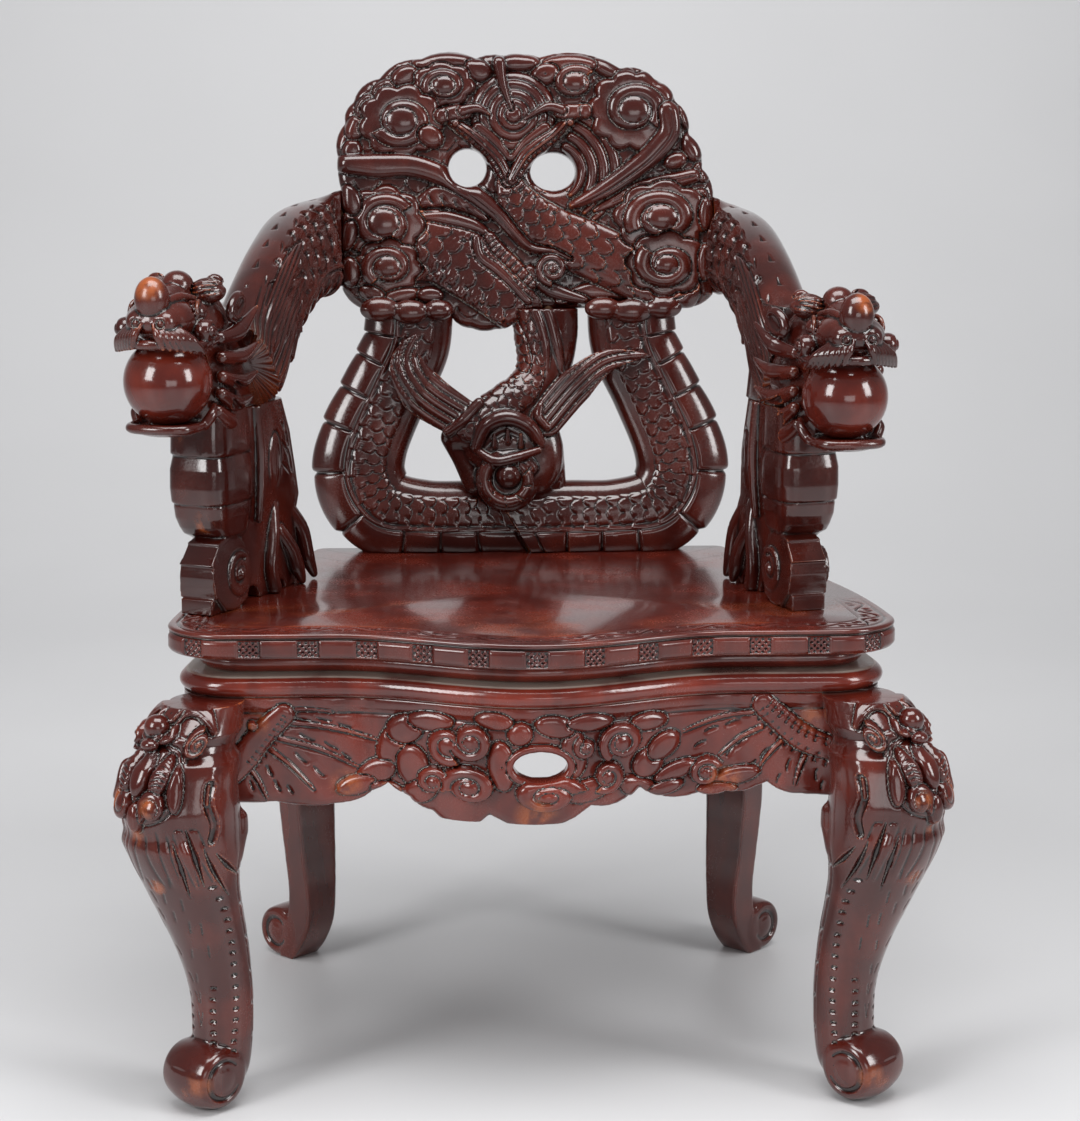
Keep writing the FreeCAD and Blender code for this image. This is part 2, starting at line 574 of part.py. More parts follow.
def crest_relief():
    """Main forms that stand out of the crest's ground: clouds, ribbons and two scaled bodies."""
    forms = []
    clouds = ((-0.653, 0.756, 0.212, 0.12), (0.622, 0.798, 0.19, 0.12), (-0.047, 0.775, 0.228, 0.1),
              (-0.746, 0.347, 0.205, 0.14), (-0.72, 0.168, 0.16, 0.12), (0.777, 0.363, 0.225, 0.14),
              (0.803, 0.179, 0.15, 0.12), (-0.42, 0.9, 0.11, 0.09), (0.3, 0.908, 0.085, 0.09))
    for across, rise, radius, out in clouds:
        start = on_crest(across, rise, d.crest_ground + 1)
        forms.append(rod(start, on_crest(across, rise, -out * d.back_thickness), radius * d.crest_half_width))
    bands = (
        (0.15, (-0.97, 0.584, 0.057), (-0.6, 0.576, 0.062), (-0.41, 0.53, 0.057), (-0.13, 0.389, 0.044),
         (0.057, 0.248, 0.031), (0.26, 0.206, 0.016)),
        (0.16, (0.813, 0.79, 0.062), (0.819, 0.71, 0.062), (0.648, 0.573, 0.057), (0.285, 0.416, 0.02)),
        (0.17, (-0.61, 0.256, 0.19), (-0.44, 0.248, 0.19), (-0.28, 0.164, 0.166), (-0.03, -0.01, 0.13)),
        (0.18, (-0.062, 0.504, 0.067), (0.005, 0.408, 0.114), (0.166, 0.313, 0.14), (0.383, 0.237, 0.15),
         (0.658, 0.141, 0.15), (0.85, 0.073, 0.13)),
    )
    for out, *stations in bands:
        middles = [on_crest(across, rise, d.crest_ground + 1) for across, rise, half in stations]
        left, right = [], []
        for i, (across, rise, half) in enumerate(stations):
            way = middles[min(i + 1, len(middles) - 1)] - middles[max(i - 1, 0)]
            way.normalize()
            side = way.cross(Y) * (half * d.crest_half_width)
            left.append(middles[i] + side)
            right.append(middles[i] - side)
        ring = left + right[::-1]
        face = Part.Face(Part.makePolygon(ring + ring[:1]))
        forms.append(face.extrude(Vector(0, -d.crest_ground - 1 - out * d.back_thickness, 0)))
    return forms


def joint_span(joint_z):
    """Heights on the back between which an arm meets the crest."""
    middle = (joint_z - d.seat_top) / math.cos(math.radians(d.back_rake))
    return middle - d.arm_half_height - 1.5, middle + d.arm_half_height + 1.5


def centre_carving():
    """Third dragon body, its claw and its two fins."""
    body = back_sweep(centre_shares(
        (0.248, 1, 0.556, 0.381, 0.381), (0.281, 0.863, 0.533, 0.357, 0.381), (0.223, 0.733, 0.511, 0.238, 0.381),
        (0.05, 0.618, 0.556, 0.024, 0.333), (-0.091, 0.504, 0.756, -0.214, 0.286),
        (-0.116, 0.382, 0.933, -0.333, 0.286), (-0.116, 0.252, 0.822, -0.357, 0.286),
        (-0.116, 0.13, 0.533, -0.345, 0.262)))
    left_fin = back_sweep(centre_shares(
        (-0.248, 0.511, 0.267, -0.214, 0.143), (-0.595, 0.656, 0.378, -0.214, 0.143),
        (-0.86, 0.779, 0.311, -0.214, 0.143), (-1.025, 0.863, 0.133, -0.214, 0.095)), False)
    right_fin = back_sweep(centre_shares(
        (0.149, 0.511, 0.267, -0.214, 0.143), (0.496, 0.656, 0.289, -0.214, 0.143),
        (0.81, 0.756, 0.2, -0.214, 0.119), (1.091, 0.817, 0.089, -0.214, 0.071)), False)
    return raked(body.fuse(left_fin).fuse(right_fin))


def centre_shares(*stations):
    """Stations of the centre carving from shares of the back's own sizes."""
    return [(x * d.body_top_x, height * d.body_top, half * d.body_half_width, depth * d.back_thickness,
             thick * d.back_thickness) for x, height, half, depth, thick in stations]


# Dowels: one document cylinder each, gathered into one group per joint
dowel_groups = {}
dowel_holes = []
dowel_radius = d.dowel_diameter / 2


def add_dowel(group, middle, along):
    """Place a dowel across a joint and note the hole it needs in both pieces."""
    along = Vector(along)
    along.normalize()
    dowel = doc.addObject("Part::Cylinder", "dowel")
    dowel.setExpression("Radius", "Sizes.dowel_diameter / 2")
    dowel.setExpression("Height", "2 * Sizes.dowel_depth")
    dowel.Placement = Placement(middle - along * d.dowel_depth, Rotation(Z, along))
    dowel_groups.setdefault(group, []).append(dowel)
    reach = along * (d.dowel_depth + d.dowel_end_gap)
    dowel_holes.append(rod(middle - reach, middle + reach, dowel_radius + d.fit_clearance))


def drilled(shape):
    """Cut every dowel hole that reaches into the shape."""
    for hole in dowel_holes:
        if shape.BoundBox.intersect(hole.BoundBox):
            shape = shape.cut(hole)
    return shape


for side in (-1, 1):
    add_dowel("crest_dowels", back_point(side * d.body_top_x, back_middle, d.body_top), back_point(
        0, 0, 1) - back_point(0, 0, 0))
add_dowel("crest_dowels", back_point(0.248 * d.body_top_x, 0.381 * d.back_thickness, d.body_top),
          back_point(0, 0, 1) - back_point(0, 0, 0))
add_dowel("body_dowel", back_point(d.body_meet_x, back_middle, d.body_bottom_half), X)

# Arms, heads and supports: one set for each side
SIDES = (
    SimpleNamespace(name="left", sign=-1, joint_x=left_joint_x, joint_z=d.left_joint_z,
                    neck_inset=d.left_neck_inset, foot_x=left_foot_x, claw_inset=d.left_claw_inset,
                    pearl_z=d.left_pearl_z, pearl_radius=d.left_pearl_radius),
    SimpleNamespace(name="right", sign=1, joint_x=right_joint_x, joint_z=d.right_joint_z,
                    neck_inset=d.right_neck_inset, foot_x=right_foot_x,
                    claw_inset=d.right_claw_inset, pearl_z=d.right_pearl_z, pearl_radius=d.right_pearl_radius),
)


def set_out(s):
    """Work out the lines that an arm, its head and its support share."""
    s.pearl_x = s.foot_x + d.pearl_outset
    s.neck_x = s.foot_x - s.neck_inset
    s.foot = Vector(s.sign * s.foot_x, -d.foot_y, 0)
    s.along = Vector(s.sign * (s.foot_x - s.claw_inset), d.claw_y, 0) - s.foot
    s.span = s.along.Length
    s.along.normalize()
    s.across = Z.cross(s.along)
    s.pearl = Vector(s.sign * s.pearl_x, -d.pearl_y, s.pearl_z)
    s.forward = Vector(s.pearl.x, s.pearl.y, 0) - s.foot - s.along * (0.08 * s.span)
    s.forward.normalize()
    s.lateral = Z.cross(s.forward)
    s.joint = s.pearl - s.forward * d.head_length
    height = (s.joint_z - d.seat_top) / math.cos(math.radians(d.back_rake))
    s.arm_start = back_point(s.sign * s.joint_x, back_middle, height)


def plan_section(s, z, front, rear, half):
    """Level section of a support or neck: its front in half widths, its rear in spans."""
    start, end = front * d.support_half_width, rear * s.span
    middle = s.foot + s.along * ((start + end) / 2) + Z * z
    return ring_wire(middle, s.along, s.across, (end - start) / 2, half, 0.6)


def support(s):
    """Arm support: belly post and rolled foot in front, haunch and claws behind."""
    half, base, high = d.support_half_width, d.seat_top, d.support_height
    sections = ((0, 1.03, 0.97, 0.69), (0.2, 0.55, 0.95, 0.76), (0.34, -0.07, 0.9, 0.82), (0.45, -0.55, 0.84, 0.95),
                (0.575, -0.86, 0.76, 1.1), (0.83, -0.97, 0.66, 1.16), (1, -0.86, 0.56, 1.12))
    shape = loft([plan_section(s, base + share * high, a, b, w * half) for share, a, b, w in sections])

    def spot(along, across, rise):
        """Place on the support from spans, half widths and heights."""
        return s.foot + s.along * (along * s.span) + s.across * (across * half) + Z * (base + rise * high)

    shape = shape.fuse(rod(spot(0, -0.76, 0.2), spot(0, 0.76, 0.2), 1.2 * half))
    toe = Part.makeBox(1.6 * half, 1.4 * half, 0.1 * high, Vector(-0.8 * half, -1.3 * half, base))
    toe.Placement = Placement(s.foot, Rotation(Y, s.along))
    shape = shape.fuse(toe)
    for side in (-1, 1):
        shape = shape.fuse(rod(spot(0.7, 0.55 * side, 0.45), spot(1, 0.93 * side, 0.07), 0.36 * half))
    shape = shape.fuse(rod(spot(0.78, 0, 0.39), spot(1.05, 0, 0.06), 0.4 * half))
    return shape.cut(below_seat)


def support_tenon(s, gap):
    """Tenon under a support."""
    return seat_tenon(s.foot + s.along * (0.42 * s.span), s.along, gap)


def arm(s):
    """Arm from the crest to the neck, with the neck block that stands on the support."""
    drop = s.joint_z - (s.pearl_z + 24)
    spread = s.neck_x - s.joint_x
    rear = s.arm_start.y
    run = rear + d.neck_y
    tall, thick = d.arm_half_height, d.arm_half_thickness
    stations = (
        (0, 0, 0, tall, back_middle + 2), (0.1, 0.03, 0, tall, thick - 5), (0.31, 0.13, -0.05, tall, thick - 1),
        (0.54, 0.34, 0, tall - 2, thick), (0.69, 0.58, 0.21, tall - 4, thick), (0.84, 0.8, 0.54, tall - 6, thick),
        (1, 1, 1, tall - 4, thick - 1),
    )
    points = [Vector(s.sign * (s.joint_x + spread * a), rear - run * b, s.joint_z - drop * c)
              for a, b, c, h, w in stations]
    wires = []
    for i, (a, b, c, h, w) in enumerate(stations):
        way = points[min(i + 1, len(points) - 1)] - points[max(i - 1, 0)]
        if i == 0:
            way = X * s.sign
        way.normalize()
        up = Z - way * Z.dot(way)
        up.normalize()
        wires.append(ring_wire(points[i], way.cross(up), up, w, h, 0.8))
    half, high = d.support_half_width, d.support_height
    neck = loft([plan_section(s, support_top, -0.83, 0.54, 1.1 * half),
                 plan_section(s, support_top + 0.205 * high, -0.69, 0.48, 1.05 * half),
                 plan_section(s, support_top + 0.45 * high, -0.28, 0.34, 0.85 * half)])
    shape = loft(wires).fuse(neck)
    front = Part.makeBox(FAR, FAR, FAR, Vector(-FAR / 2, 0, -FAR / 2))
    front.Placement = Placement(s.joint, Rotation(Y, s.forward))
    gap = d.fit_clearance
    reach = s.joint_x + gap
    crest_space = Part.makeBox(2 * reach, FAR, FAR, Vector(-reach, -0.2 * d.back_thickness, 0))
    return shape.cut(front).cut(raked(crest_space))


def head(s):
    """Dragon head with an open mouth around the pearl."""
    wide, high = d.head_half_width, d.head_height
    length, front, drop = d.head_length, d.head_front, d.jaw_drop
    stations = ((-length, 0.73 * wide, -0.63 * drop, 0.59 * high), (-0.63 * length, wide, -0.96 * drop, 0.96 * high),
                (-0.126 * length, wide, -drop, high), (0.6 * front, 0.886 * wide, -drop, 0.94 * high),
                (front, 0.68 * wide, -0.926 * drop, 0.735 * high))
    wires = []
    for forward, half, low, top in stations:
        middle = s.pearl + s.forward * forward + Z * ((low + top) / 2)
        wires.append(ring_wire(middle, s.lateral, Z, half, (top - low) / 2, 0.55))
    shape = loft(wires)
    mouth = Part.makeBox(FAR, FAR, d.mouth_roof + d.mouth_floor, Vector(-FAR / 2, -d.mouth_depth, -d.mouth_floor))
    mouth.Placement = Placement(s.pearl, Rotation(Y, s.forward))
    shape = shape.cut(mouth)
    shape = shape.cut(Part.makeSphere(s.pearl_radius + d.pearl_clearance, s.pearl))
    under = Part.makeBox(FAR, FAR, FAR, Vector(-FAR / 2, -FAR - 0.505 * length, -FAR))
    under.Placement = Placement(Vector(s.pearl.x, s.pearl.y, support_top), Rotation(Y, s.forward))
    return shape.cut(under)


for s in SIDES:
    set_out(s)
    for share in (-0.51, 0.51):
        add_dowel("arm_dowels", s.arm_start + Z * (share * d.arm_half_height), X)
    add_dowel("head_dowels", s.joint + Z * (0.12 * d.head_height), s.forward)
    for share in (0.047, 0.26):
        add_dowel("support_dowels", s.foot + s.along * (share * s.span) + Z * support_top, Z)

crest_shape = crest_rail()
keep("left_back_body", drilled(back_body(-1).fuse(body_tenon(-1, 0)).cut(crest_shape)))
keep("right_back_body", drilled(back_body(1).fuse(body_tenon(1, 0)).cut(crest_shape)))
keep("centre_carving", drilled(centre_carving()))
keep("crest_rail", drilled(crest_shape))
for s in SIDES:
    keep(s.name + "_arm", drilled(arm(s)))
    keep(s.name + "_dragon_head", drilled(head(s)))
    keep(s.name + "_arm_support", drilled(support(s).fuse(support_tenon(s, 0))))
    pearl = doc.addObject("Part::Sphere", s.name + "_pearl")
    pearl.Label = s.name + "_pearl"
    pearl.setExpression("Radius", "Sizes.%s_pearl_radius" % s.name)
    pearl.setExpression("Placement.Base.x", "%d * (Sizes.seat_half_width - Sizes.%s_foot_inset"
                                            " + Sizes.pearl_outset)" % (s.sign, s.name))
    pearl.setExpression("Placement.Base.y", "-Sizes.pearl_y")
    pearl.setExpression("Placement.Base.z", "Sizes.%s_pearl_z" % s.name)
    pieces[pearl.Label] = pearl

for group, dowels in dowel_groups.items():
    bundle = doc.addObject("Part::Compound", group)
    bundle.Label = group
    bundle.Links = dowels
    pieces[group] = bundle

# Corner blocks, bearers and their screws, all hidden under the seat
screw_groups = {}
screw_radius = d.screw_diameter / 2


def screw(group, x, y, under, length):
    """Screw driven upwards from a face at height under; returns its clearance hole."""
    shank = Part.makeCylinder(screw_radius, length, Vector(x, y, under))
    cap = Part.makeCone(d.screw_head_diameter / 2, screw_radius, 4, Vector(x, y, under))
    screw_groups.setdefault(group, []).append(shank.fuse(cap).removeSplitter())
    gap = d.fit_clearance
    hole = Part.makeCylinder(screw_radius + gap, length + gap, Vector(x, y, under))
    sink = Part.makeCone(d.screw_head_diameter / 2 + gap, screw_radius + gap, 4, Vector(x, y, under))
    return hole.fuse(sink)


block_bottom = frame_bottom - d.block_height
inner_x = d.seat_half_width - apron_back
inner_front = apron_back - d.seat_front
inner_rear = rear_apron_front - d.fit_clearance
rear_inner_x = d.seat_rear_half_width - 0.85 * apron_back
reach, chamfer = d.block_reach, d.block_chamfer
apron_space = plan_slab(apron_back + d.fit_clearance, block_bottom - 1, frame_bottom + 1)
block_plans = {
    "front": [(inner_x - reach, inner_front), (inner_x - chamfer, inner_front),
              (inner_x + 20, inner_front + chamfer + 20), (inner_x + 20, inner_front + reach + 10)],
    "back": [(rear_inner_x - reach + 14, inner_rear), (rear_inner_x - 8, inner_rear),
             (rear_inner_x + 35, inner_rear - chamfer + 4), (rear_inner_x + 60, inner_rear - reach)],
}
screw_spots = {
    "front": ((inner_x - chamfer - 12, inner_front + 14), (inner_x - 16, inner_front + chamfer + 18)),
    "back": ((rear_inner_x - 30, inner_rear - 14), (rear_inner_x + 12, inner_rear - chamfer - 12)),
}
block_screw_holes = []
for end in ("front", "back"):
    for name, sign in (("left", -1), ("right", 1)):
        plan = [(sign * x, y) for x, y in block_plans[end]]
        block = prism(plan, block_bottom, frame_bottom).common(apron_space)
        for x, y in screw_spots[end]:
            hole = screw("corner_block_screws", sign * x, y, block_bottom, d.block_height + d.screw_grip)
            block = block.cut(hole)
            block_screw_holes.append(hole)
        keep("%s_%s_corner_block" % (end, name), block)

bearer_bottom = seat_bottom - d.bearer_height
bearer_holes = []
for name, sign in (("left", -1), ("right", 1)):
    bearer = doc.addObject("Part::Box", name + "_bearer_blank")
    bearer.setExpression("Length", "Sizes.bearer_width")
    bearer.setExpression("Width", "Sizes.seat_rear - Sizes.moulding_rear_depth + Sizes.seat_front"
                                  " - Sizes.moulding_front_depth")
    bearer.setExpression("Height", "Sizes.bearer_height")
    bearer.setExpression("Placement.Base.x", "%d * Sizes.bearer_x - Sizes.bearer_width / 2" % sign)
    bearer.setExpression("Placement.Base.y", "Sizes.moulding_front_depth - Sizes.seat_front")
    bearer.setExpression("Placement.Base.z", "Sizes.seat_top - Sizes.seat_thickness - Sizes.bearer_height")
    tools = []
    for share in (0.15, 0.5, 0.85):
        y = opening_front + share * (opening_rear - opening_front)
        length = d.bearer_height + d.screw_grip
        tools.append(screw("bearer_screws", sign * d.bearer_x, y, bearer_bottom, length))
    bearer_holes += tools
    bore = doc.addObject("Part::Feature", name + "_bearer_bores")
    bore.Shape = Part.makeCompound(tools)
    cut = doc.addObject("Part::Cut", name + "_seat_bearer")
    cut.Label = name + "_seat_bearer"
    cut.Base = bearer
    cut.Tool = bore
    pieces[cut.Label] = cut

for group, screws in screw_groups.items():
    bundle = doc.addObject("Part::Feature", group)
    bundle.Label = group
    bundle.Shape = Part.makeCompound(screws)
    pieces[group] = bundle

for label in [name for name in pieces if name.endswith("lower_moulding")]:
    shape = pieces[label].Shape
    for hole in block_screw_holes:
        if shape.BoundBox.intersect(hole.BoundBox):
            shape = shape.cut(hole)
    pieces[label].Shape = shape

# Seat board: slab with mortises for the supports and back bodies, and pilot holes for the screws
seat_blank = doc.addObject("Part::Feature", "seat_blank")
seat_blank.Shape = plan_slab(0, seat_bottom, d.seat_top)
gap = d.fit_clearance
seat_cuts = [body_tenon(-1, gap), body_tenon(1, gap)]
seat_cuts += [support_tenon(s, gap) for s in SIDES] + bearer_holes
seat_tool = doc.addObject("Part::Feature", "seat_mortises")
seat_tool.Shape = Part.makeCompound(seat_cuts)
seat = doc.addObject("Part::Cut", "seat_board")
seat.Label = "seat_board"
seat.Base = seat_blank
seat.Tool = seat_tool
pieces["seat_board"] = seat

doc.recompute()
for item in doc.Objects:
    if {"Invalid", "Error"} & set(item.State):
        raise RuntimeError("%s failed to build: %s" % (item.Label, item.State))

os.makedirs("parts", exist_ok=True)
for label, piece in sorted(pieces.items()):
    shape = piece.Shape
    if shape.isNull() or not shape.isValid() or not shape.Solids:
        raise RuntimeError("%s has no valid solid" % label)
    if len(shape.Solids) > 1 and not label.endswith(("dowels", "screws")):
        raise RuntimeError("%s fell into %d solids" % (label, len(shape.Solids)))
    shape.exportStep("parts/%s.step" % label)
print(len(pieces), "pieces written")
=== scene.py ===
import math

import bpy
import numpy as np
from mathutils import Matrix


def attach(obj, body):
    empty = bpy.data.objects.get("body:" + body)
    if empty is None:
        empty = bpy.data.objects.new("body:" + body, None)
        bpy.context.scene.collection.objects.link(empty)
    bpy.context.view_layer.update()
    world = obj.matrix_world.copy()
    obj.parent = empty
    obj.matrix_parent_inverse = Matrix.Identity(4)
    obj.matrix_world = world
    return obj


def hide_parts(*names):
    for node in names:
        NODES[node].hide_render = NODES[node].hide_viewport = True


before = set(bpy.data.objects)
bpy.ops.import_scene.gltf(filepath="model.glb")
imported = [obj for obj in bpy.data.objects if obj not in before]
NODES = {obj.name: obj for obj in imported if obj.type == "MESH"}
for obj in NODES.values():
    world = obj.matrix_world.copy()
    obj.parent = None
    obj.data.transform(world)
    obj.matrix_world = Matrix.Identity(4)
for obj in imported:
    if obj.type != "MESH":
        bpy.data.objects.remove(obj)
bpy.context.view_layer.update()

import openvdb
from mathutils import Vector

bl_info = {
    "name": "Carved Dragon Armchair",
    "version": (1, 0, 0),
    "blender": (4, 5, 0),
    "location": "View3D > Sidebar > Armchair",
    "description": "Carves and finishes the pieces of a lacquered dragon armchair on its solid frame",
    "category": "Object",
}

MM = 0.001
COARSE = 1.0

# Sizes of the seat and the back in millimetres; the chair faces -Y and left is -X
SEAT_TOP, SEAT_THICK = 460.0, 24.0
SEAT_HALF, SEAT_FRONT, SEAT_REAR, SEAT_REAR_HALF = 345.0, 203.0, 238.0, 223.0
SEAT_BOW, SEAT_BOW_HALF = 54.0, 190.0
BACK_FRONT, BACK_RAKE, BACK_THICK = 198.0, math.radians(4), 42.0

# Distances behind the pearl where a neck ends and where its head starts
NECK_SEAM, HEAD_SEAM = 95.8, 95.3

# Heights where an arm support ends and where the head over it starts
SUPPORT_TOP, HEAD_FOOT = 654.7, 655.6

# Most triangles that a carved piece keeps
LIMITS = {"crest": 170000, "body": 100000, "centre": 120000, "arm": 140000, "head": 115000,
          "support": 100000, "apron": 140000, "front_leg": 145000, "back_leg": 50000}

# Spots (sideways, forwards, up, reach) on both sides where hands and knocks have worn the lacquer away
RUBBED = (
    (351, -212, 786, 21), (305, -212, 769, 19), (355, -272, 314, 12), (388, -238, 316, 12),
    (372, -258, 282, 14), (352, -248, 232, 12), (318, -232, 32, 16), (337, -238, 20, 14),
    (180, -196, 312, 22), (95, -236, 300, 20), (0, -242, 292, 26), (262, -192, 372, 16), (330, -90, 628, 14),
    (312, -104, 545, 12),
)


class ChairSizes(bpy.types.PropertyGroup):
    """Sizes of the carving that a user may change."""

    cell: bpy.props.FloatProperty(
        name="Carving Cell", description="Finest step of the carved surfaces, in millimetres",
        default=1.4, min=0.8, max=4.0)
    scale_row: bpy.props.FloatProperty(
        name="Scale Row", description="Distance between rows of scales, in millimetres",
        default=13.0, min=6.0, max=30.0)
    plate_pitch: bpy.props.FloatProperty(
        name="Belly Plate", description="Length of one belly plate on the back, in millimetres",
        default=38.0, min=15.0, max=60.0)
    grain: bpy.props.FloatProperty(
        name="Grain", description="Depth of the wood grain under the lacquer",
        default=0.12, min=0.0, max=1.0, subtype="FACTOR")


class ChairColours(bpy.types.PropertyGroup):
    """Colours of the chair and its stage."""

    lacquer: bpy.props.FloatVectorProperty(
        name="Lacquer", description="Red-brown lacquer on the carved wood",
        default=(0.05, 0.0064, 0.0042), size=3, min=0.0, max=1.0, subtype="COLOR")
    # Painted shade: this near-black colour is laid into the hollows where shade falls
    shade: bpy.props.FloatVectorProperty(
        name="Shade", description="Nearly black lacquer in the hollows",
        default=(0.009, 0.0026, 0.0022), size=3, min=0.0, max=1.0, subtype="COLOR")
    worn: bpy.props.FloatVectorProperty(
        name="Worn Wood", description="Orange wood where hands have worn the lacquer away",
        default=(0.36, 0.085, 0.018), size=3, min=0.0, max=1.0, subtype="COLOR")
    dust: bpy.props.FloatVectorProperty(
        name="Dust", description="Pale dust and old wax in the grooves",
        default=(0.34, 0.29, 0.25), size=3, min=0.0, max=1.0, subtype="COLOR")
    hidden_wood: bpy.props.FloatVectorProperty(
        name="Hidden Wood", description="Unfinished wood under the seat",
        default=(0.2, 0.09, 0.04), size=3, min=0.0, max=1.0, subtype="COLOR")
    steel: bpy.props.FloatVectorProperty(
        name="Steel", description="Screws under the seat",
        default=(0.3, 0.28, 0.25), size=3, min=0.0, max=1.0, subtype="COLOR")
    floor: bpy.props.FloatVectorProperty(
        name="Floor", description="Pale grey floor and backdrop",
        default=(0.62, 0.62, 0.63), size=3, min=0.0, max=1.0, subtype="COLOR")


def sizes():
    """The carving sizes kept on the scene."""
    return bpy.context.scene.chair_sizes


def colours():
    """The colours kept on the scene."""
    return bpy.context.scene.chair_colours


# Shared carving tools

def spread(points, count):
    """Points along a smooth line through the given ones, evenly by share."""
    points = np.asarray(points, float)
    last = len(points) - 1
    share = np.linspace(0, last, count)
    start = np.minimum(share.astype(int), last - 1)
    t = (share - start)[:, None]
    before, after = points[np.maximum(start - 1, 0)], points[np.minimum(start + 2, last)]
    here, there = points[start], points[start + 1]
    bend = (2 * here + (there - before) * t + (2 * before - 5 * here + 4 * there - after) * t ** 2
            + (3 * here - before - 3 * there + after) * t ** 3)
    return 0.5 * bend


def smooth(low, high, value):
    """Soft step from 0 to 1 between two values."""
    t = np.clip((value - low) / (high - low), 0, 1)
    return t * t * (3 - 2 * t)


class Sheet:
    """Relief drawn over two coordinates of a surface; heights and distances in millimetres."""

    def __init__(self, a, b):
        self.a, self.b = a, b
        self.h = np.zeros(a.shape)

    def disc(self, a, b, half_a, half_b, turn=0.0):
        """Distance to an oval, negative inside."""
        c, s = math.cos(turn), math.sin(turn)
        x, y = self.a - a, self.b - b
        u, v = (x * c + y * s) / half_a, (y * c - x * s) / half_b
        near = np.sqrt(u * u + v * v) + 1e-6
        return near * (near - 1) / np.sqrt((u / half_a) ** 2 + (v / half_b) ** 2 + 1e-9)

    def line(self, points, widths, count=0):
        """Distance to a drawn line, with the share along it and the signed distance across it."""
        points = np.asarray(points, float)
        count = count or 6 * len(points)
        way = spread(points, count) if len(points) > 2 else np.linspace(points[0], points[-1], 2)
        width = np.interp(np.linspace(0, 1, len(way)), np.linspace(0, 1, len(widths)), widths)
        reach = max(widths) + 14
        low, high = way.min(0) - reach, way.max(0) + reach
        near = np.nonzero((self.a > low[0]) & (self.a < high[0]) & (self.b > low[1]) & (self.b < high[1]))
        a, b = self.a[near], self.b[near]
        best, along, across = np.full(a.shape, 99.0), np.zeros(a.shape), np.zeros(a.shape)
        for i in range(len(way) - 1):
            step = way[i + 1] - way[i]
            t = np.clip(((a - way[i, 0]) * step[0] + (b - way[i, 1]) * step[1]) / (step @ step + 1e-9), 0, 1)
            u, v = a - way[i, 0] - step[0] * t, b - way[i, 1] - step[1] * t
            far = np.sqrt(u * u + v * v)
            gap = far - width[i] - (width[i + 1] - width[i]) * t
            nearer = gap < best
            best[nearer] = gap[nearer]
            along[nearer] = ((i + t) / (len(way) - 1))[nearer]
            across[nearer] = (far * np.sign(step[0] * v - step[1] * u))[nearer]
        out = [np.full(self.a.shape, 99.0), np.zeros(self.a.shape), np.zeros(self.a.shape)]
        for full, part in zip(out, (best, along, across)):
            full[near] = part
        return out

    def lay(self, inside, height, edge, level=None, groove=1.0, width=1.3):
        """Lay a rounded shape on the sheet, with a thin groove round it."""
        share = np.clip(-inside / edge, 0, 1)
        rise = height * np.sqrt(1 - (1 - share) ** 2)
        self.h = np.where(inside < 0, (self.h if level is None else level) + rise, self.h)
        if groove:
            self.h -= groove * np.exp(-(inside / width) ** 2)

    def score(self, points, depth=1.2, width=1.1, count=0):
        """Cut a thin line that fades at both ends."""
        inside, along = self.line(points, [0.01], count)[:2]
        fade = np.clip(np.minimum(along, 1 - along) * 6, 0.15, 1)
        self.h -= depth * fade * np.exp(-(inside / width) ** 2)

    def nick(self, a, b, length, turn, depth=2.0, bend=0.35):
        """Cut a crescent with one gouge stroke."""
        c, s = math.cos(turn), math.sin(turn)
        x, y = self.a - a, self.b - b
        u, v = (x * c + y * s) / length, (y * c - x * s) / length
        v = v - bend * u * u
        body = np.clip(1 - (u / 0.5) ** 2, 0, 1)
        self.h -= depth * body * np.where(v > 0, np.clip(1 - v / 0.28, 0, 1), np.clip(1 + v / 0.06, 0, 1))

    def scroll(self, a, b, radius, height, turns=1.5, start=0.0, hand=1, squash=1.0, boss=0.34, level=0.0):
        """Cloud scroll: a rounded band that winds in to a boss."""
        x, y = self.a - a, (self.b - b) / squash
        far = np.sqrt(x * x + y * y)
        turn = ((hand * np.arctan2(y, x) - start) / (2 * math.pi)) % 1
        pitch = radius * (1 - boss) / turns
        deep = (radius - pitch * turn - far) / pitch
        share = deep - np.floor(deep)
        band = np.sqrt(np.clip(1 - (2 * share - 1) ** 2, 0, 1))
        dome = 1 - 0.22 * (far / radius) ** 2
        rise = height * dome * (0.5 + 0.5 * band)
        middle = far < boss * radius
        round_boss = height * (0.62 + 0.5 * np.sqrt(np.clip(1 - (far / (boss * radius)) ** 2, 0, 1)))
        rise = np.where(middle, round_boss, rise)
        self.h = np.where((deep > 0) | middle, level + rise, self.h)
        self.h -= 1.0 * np.exp(-((deep * pitch) / 1.3) ** 2) * (deep < 0.5)


def scales(along, across, row, column, rise):
    """Heights of overlapping scales; their free edges point along."""
    heights = np.zeros(np.broadcast(along, across).shape)
    first = np.floor(along / row)
    for back in (0, 1):
        j = first - back
        shift = 0.5 * (j % 2)
        middle = (np.floor(across / column + shift) + 0.5 - shift) * column
        u = (across - middle) / (0.54 * column)
        v = along / row - j
        within = u * u + np.clip((v - 0.5) / 0.98, 0, None) ** 2
        tile = rise * (0.15 + 0.85 * np.clip(v / 1.48, 0, 1)) * (1 - 0.35 * u * u)
        heights = np.where(within < 1, tile, heights)
    return heights


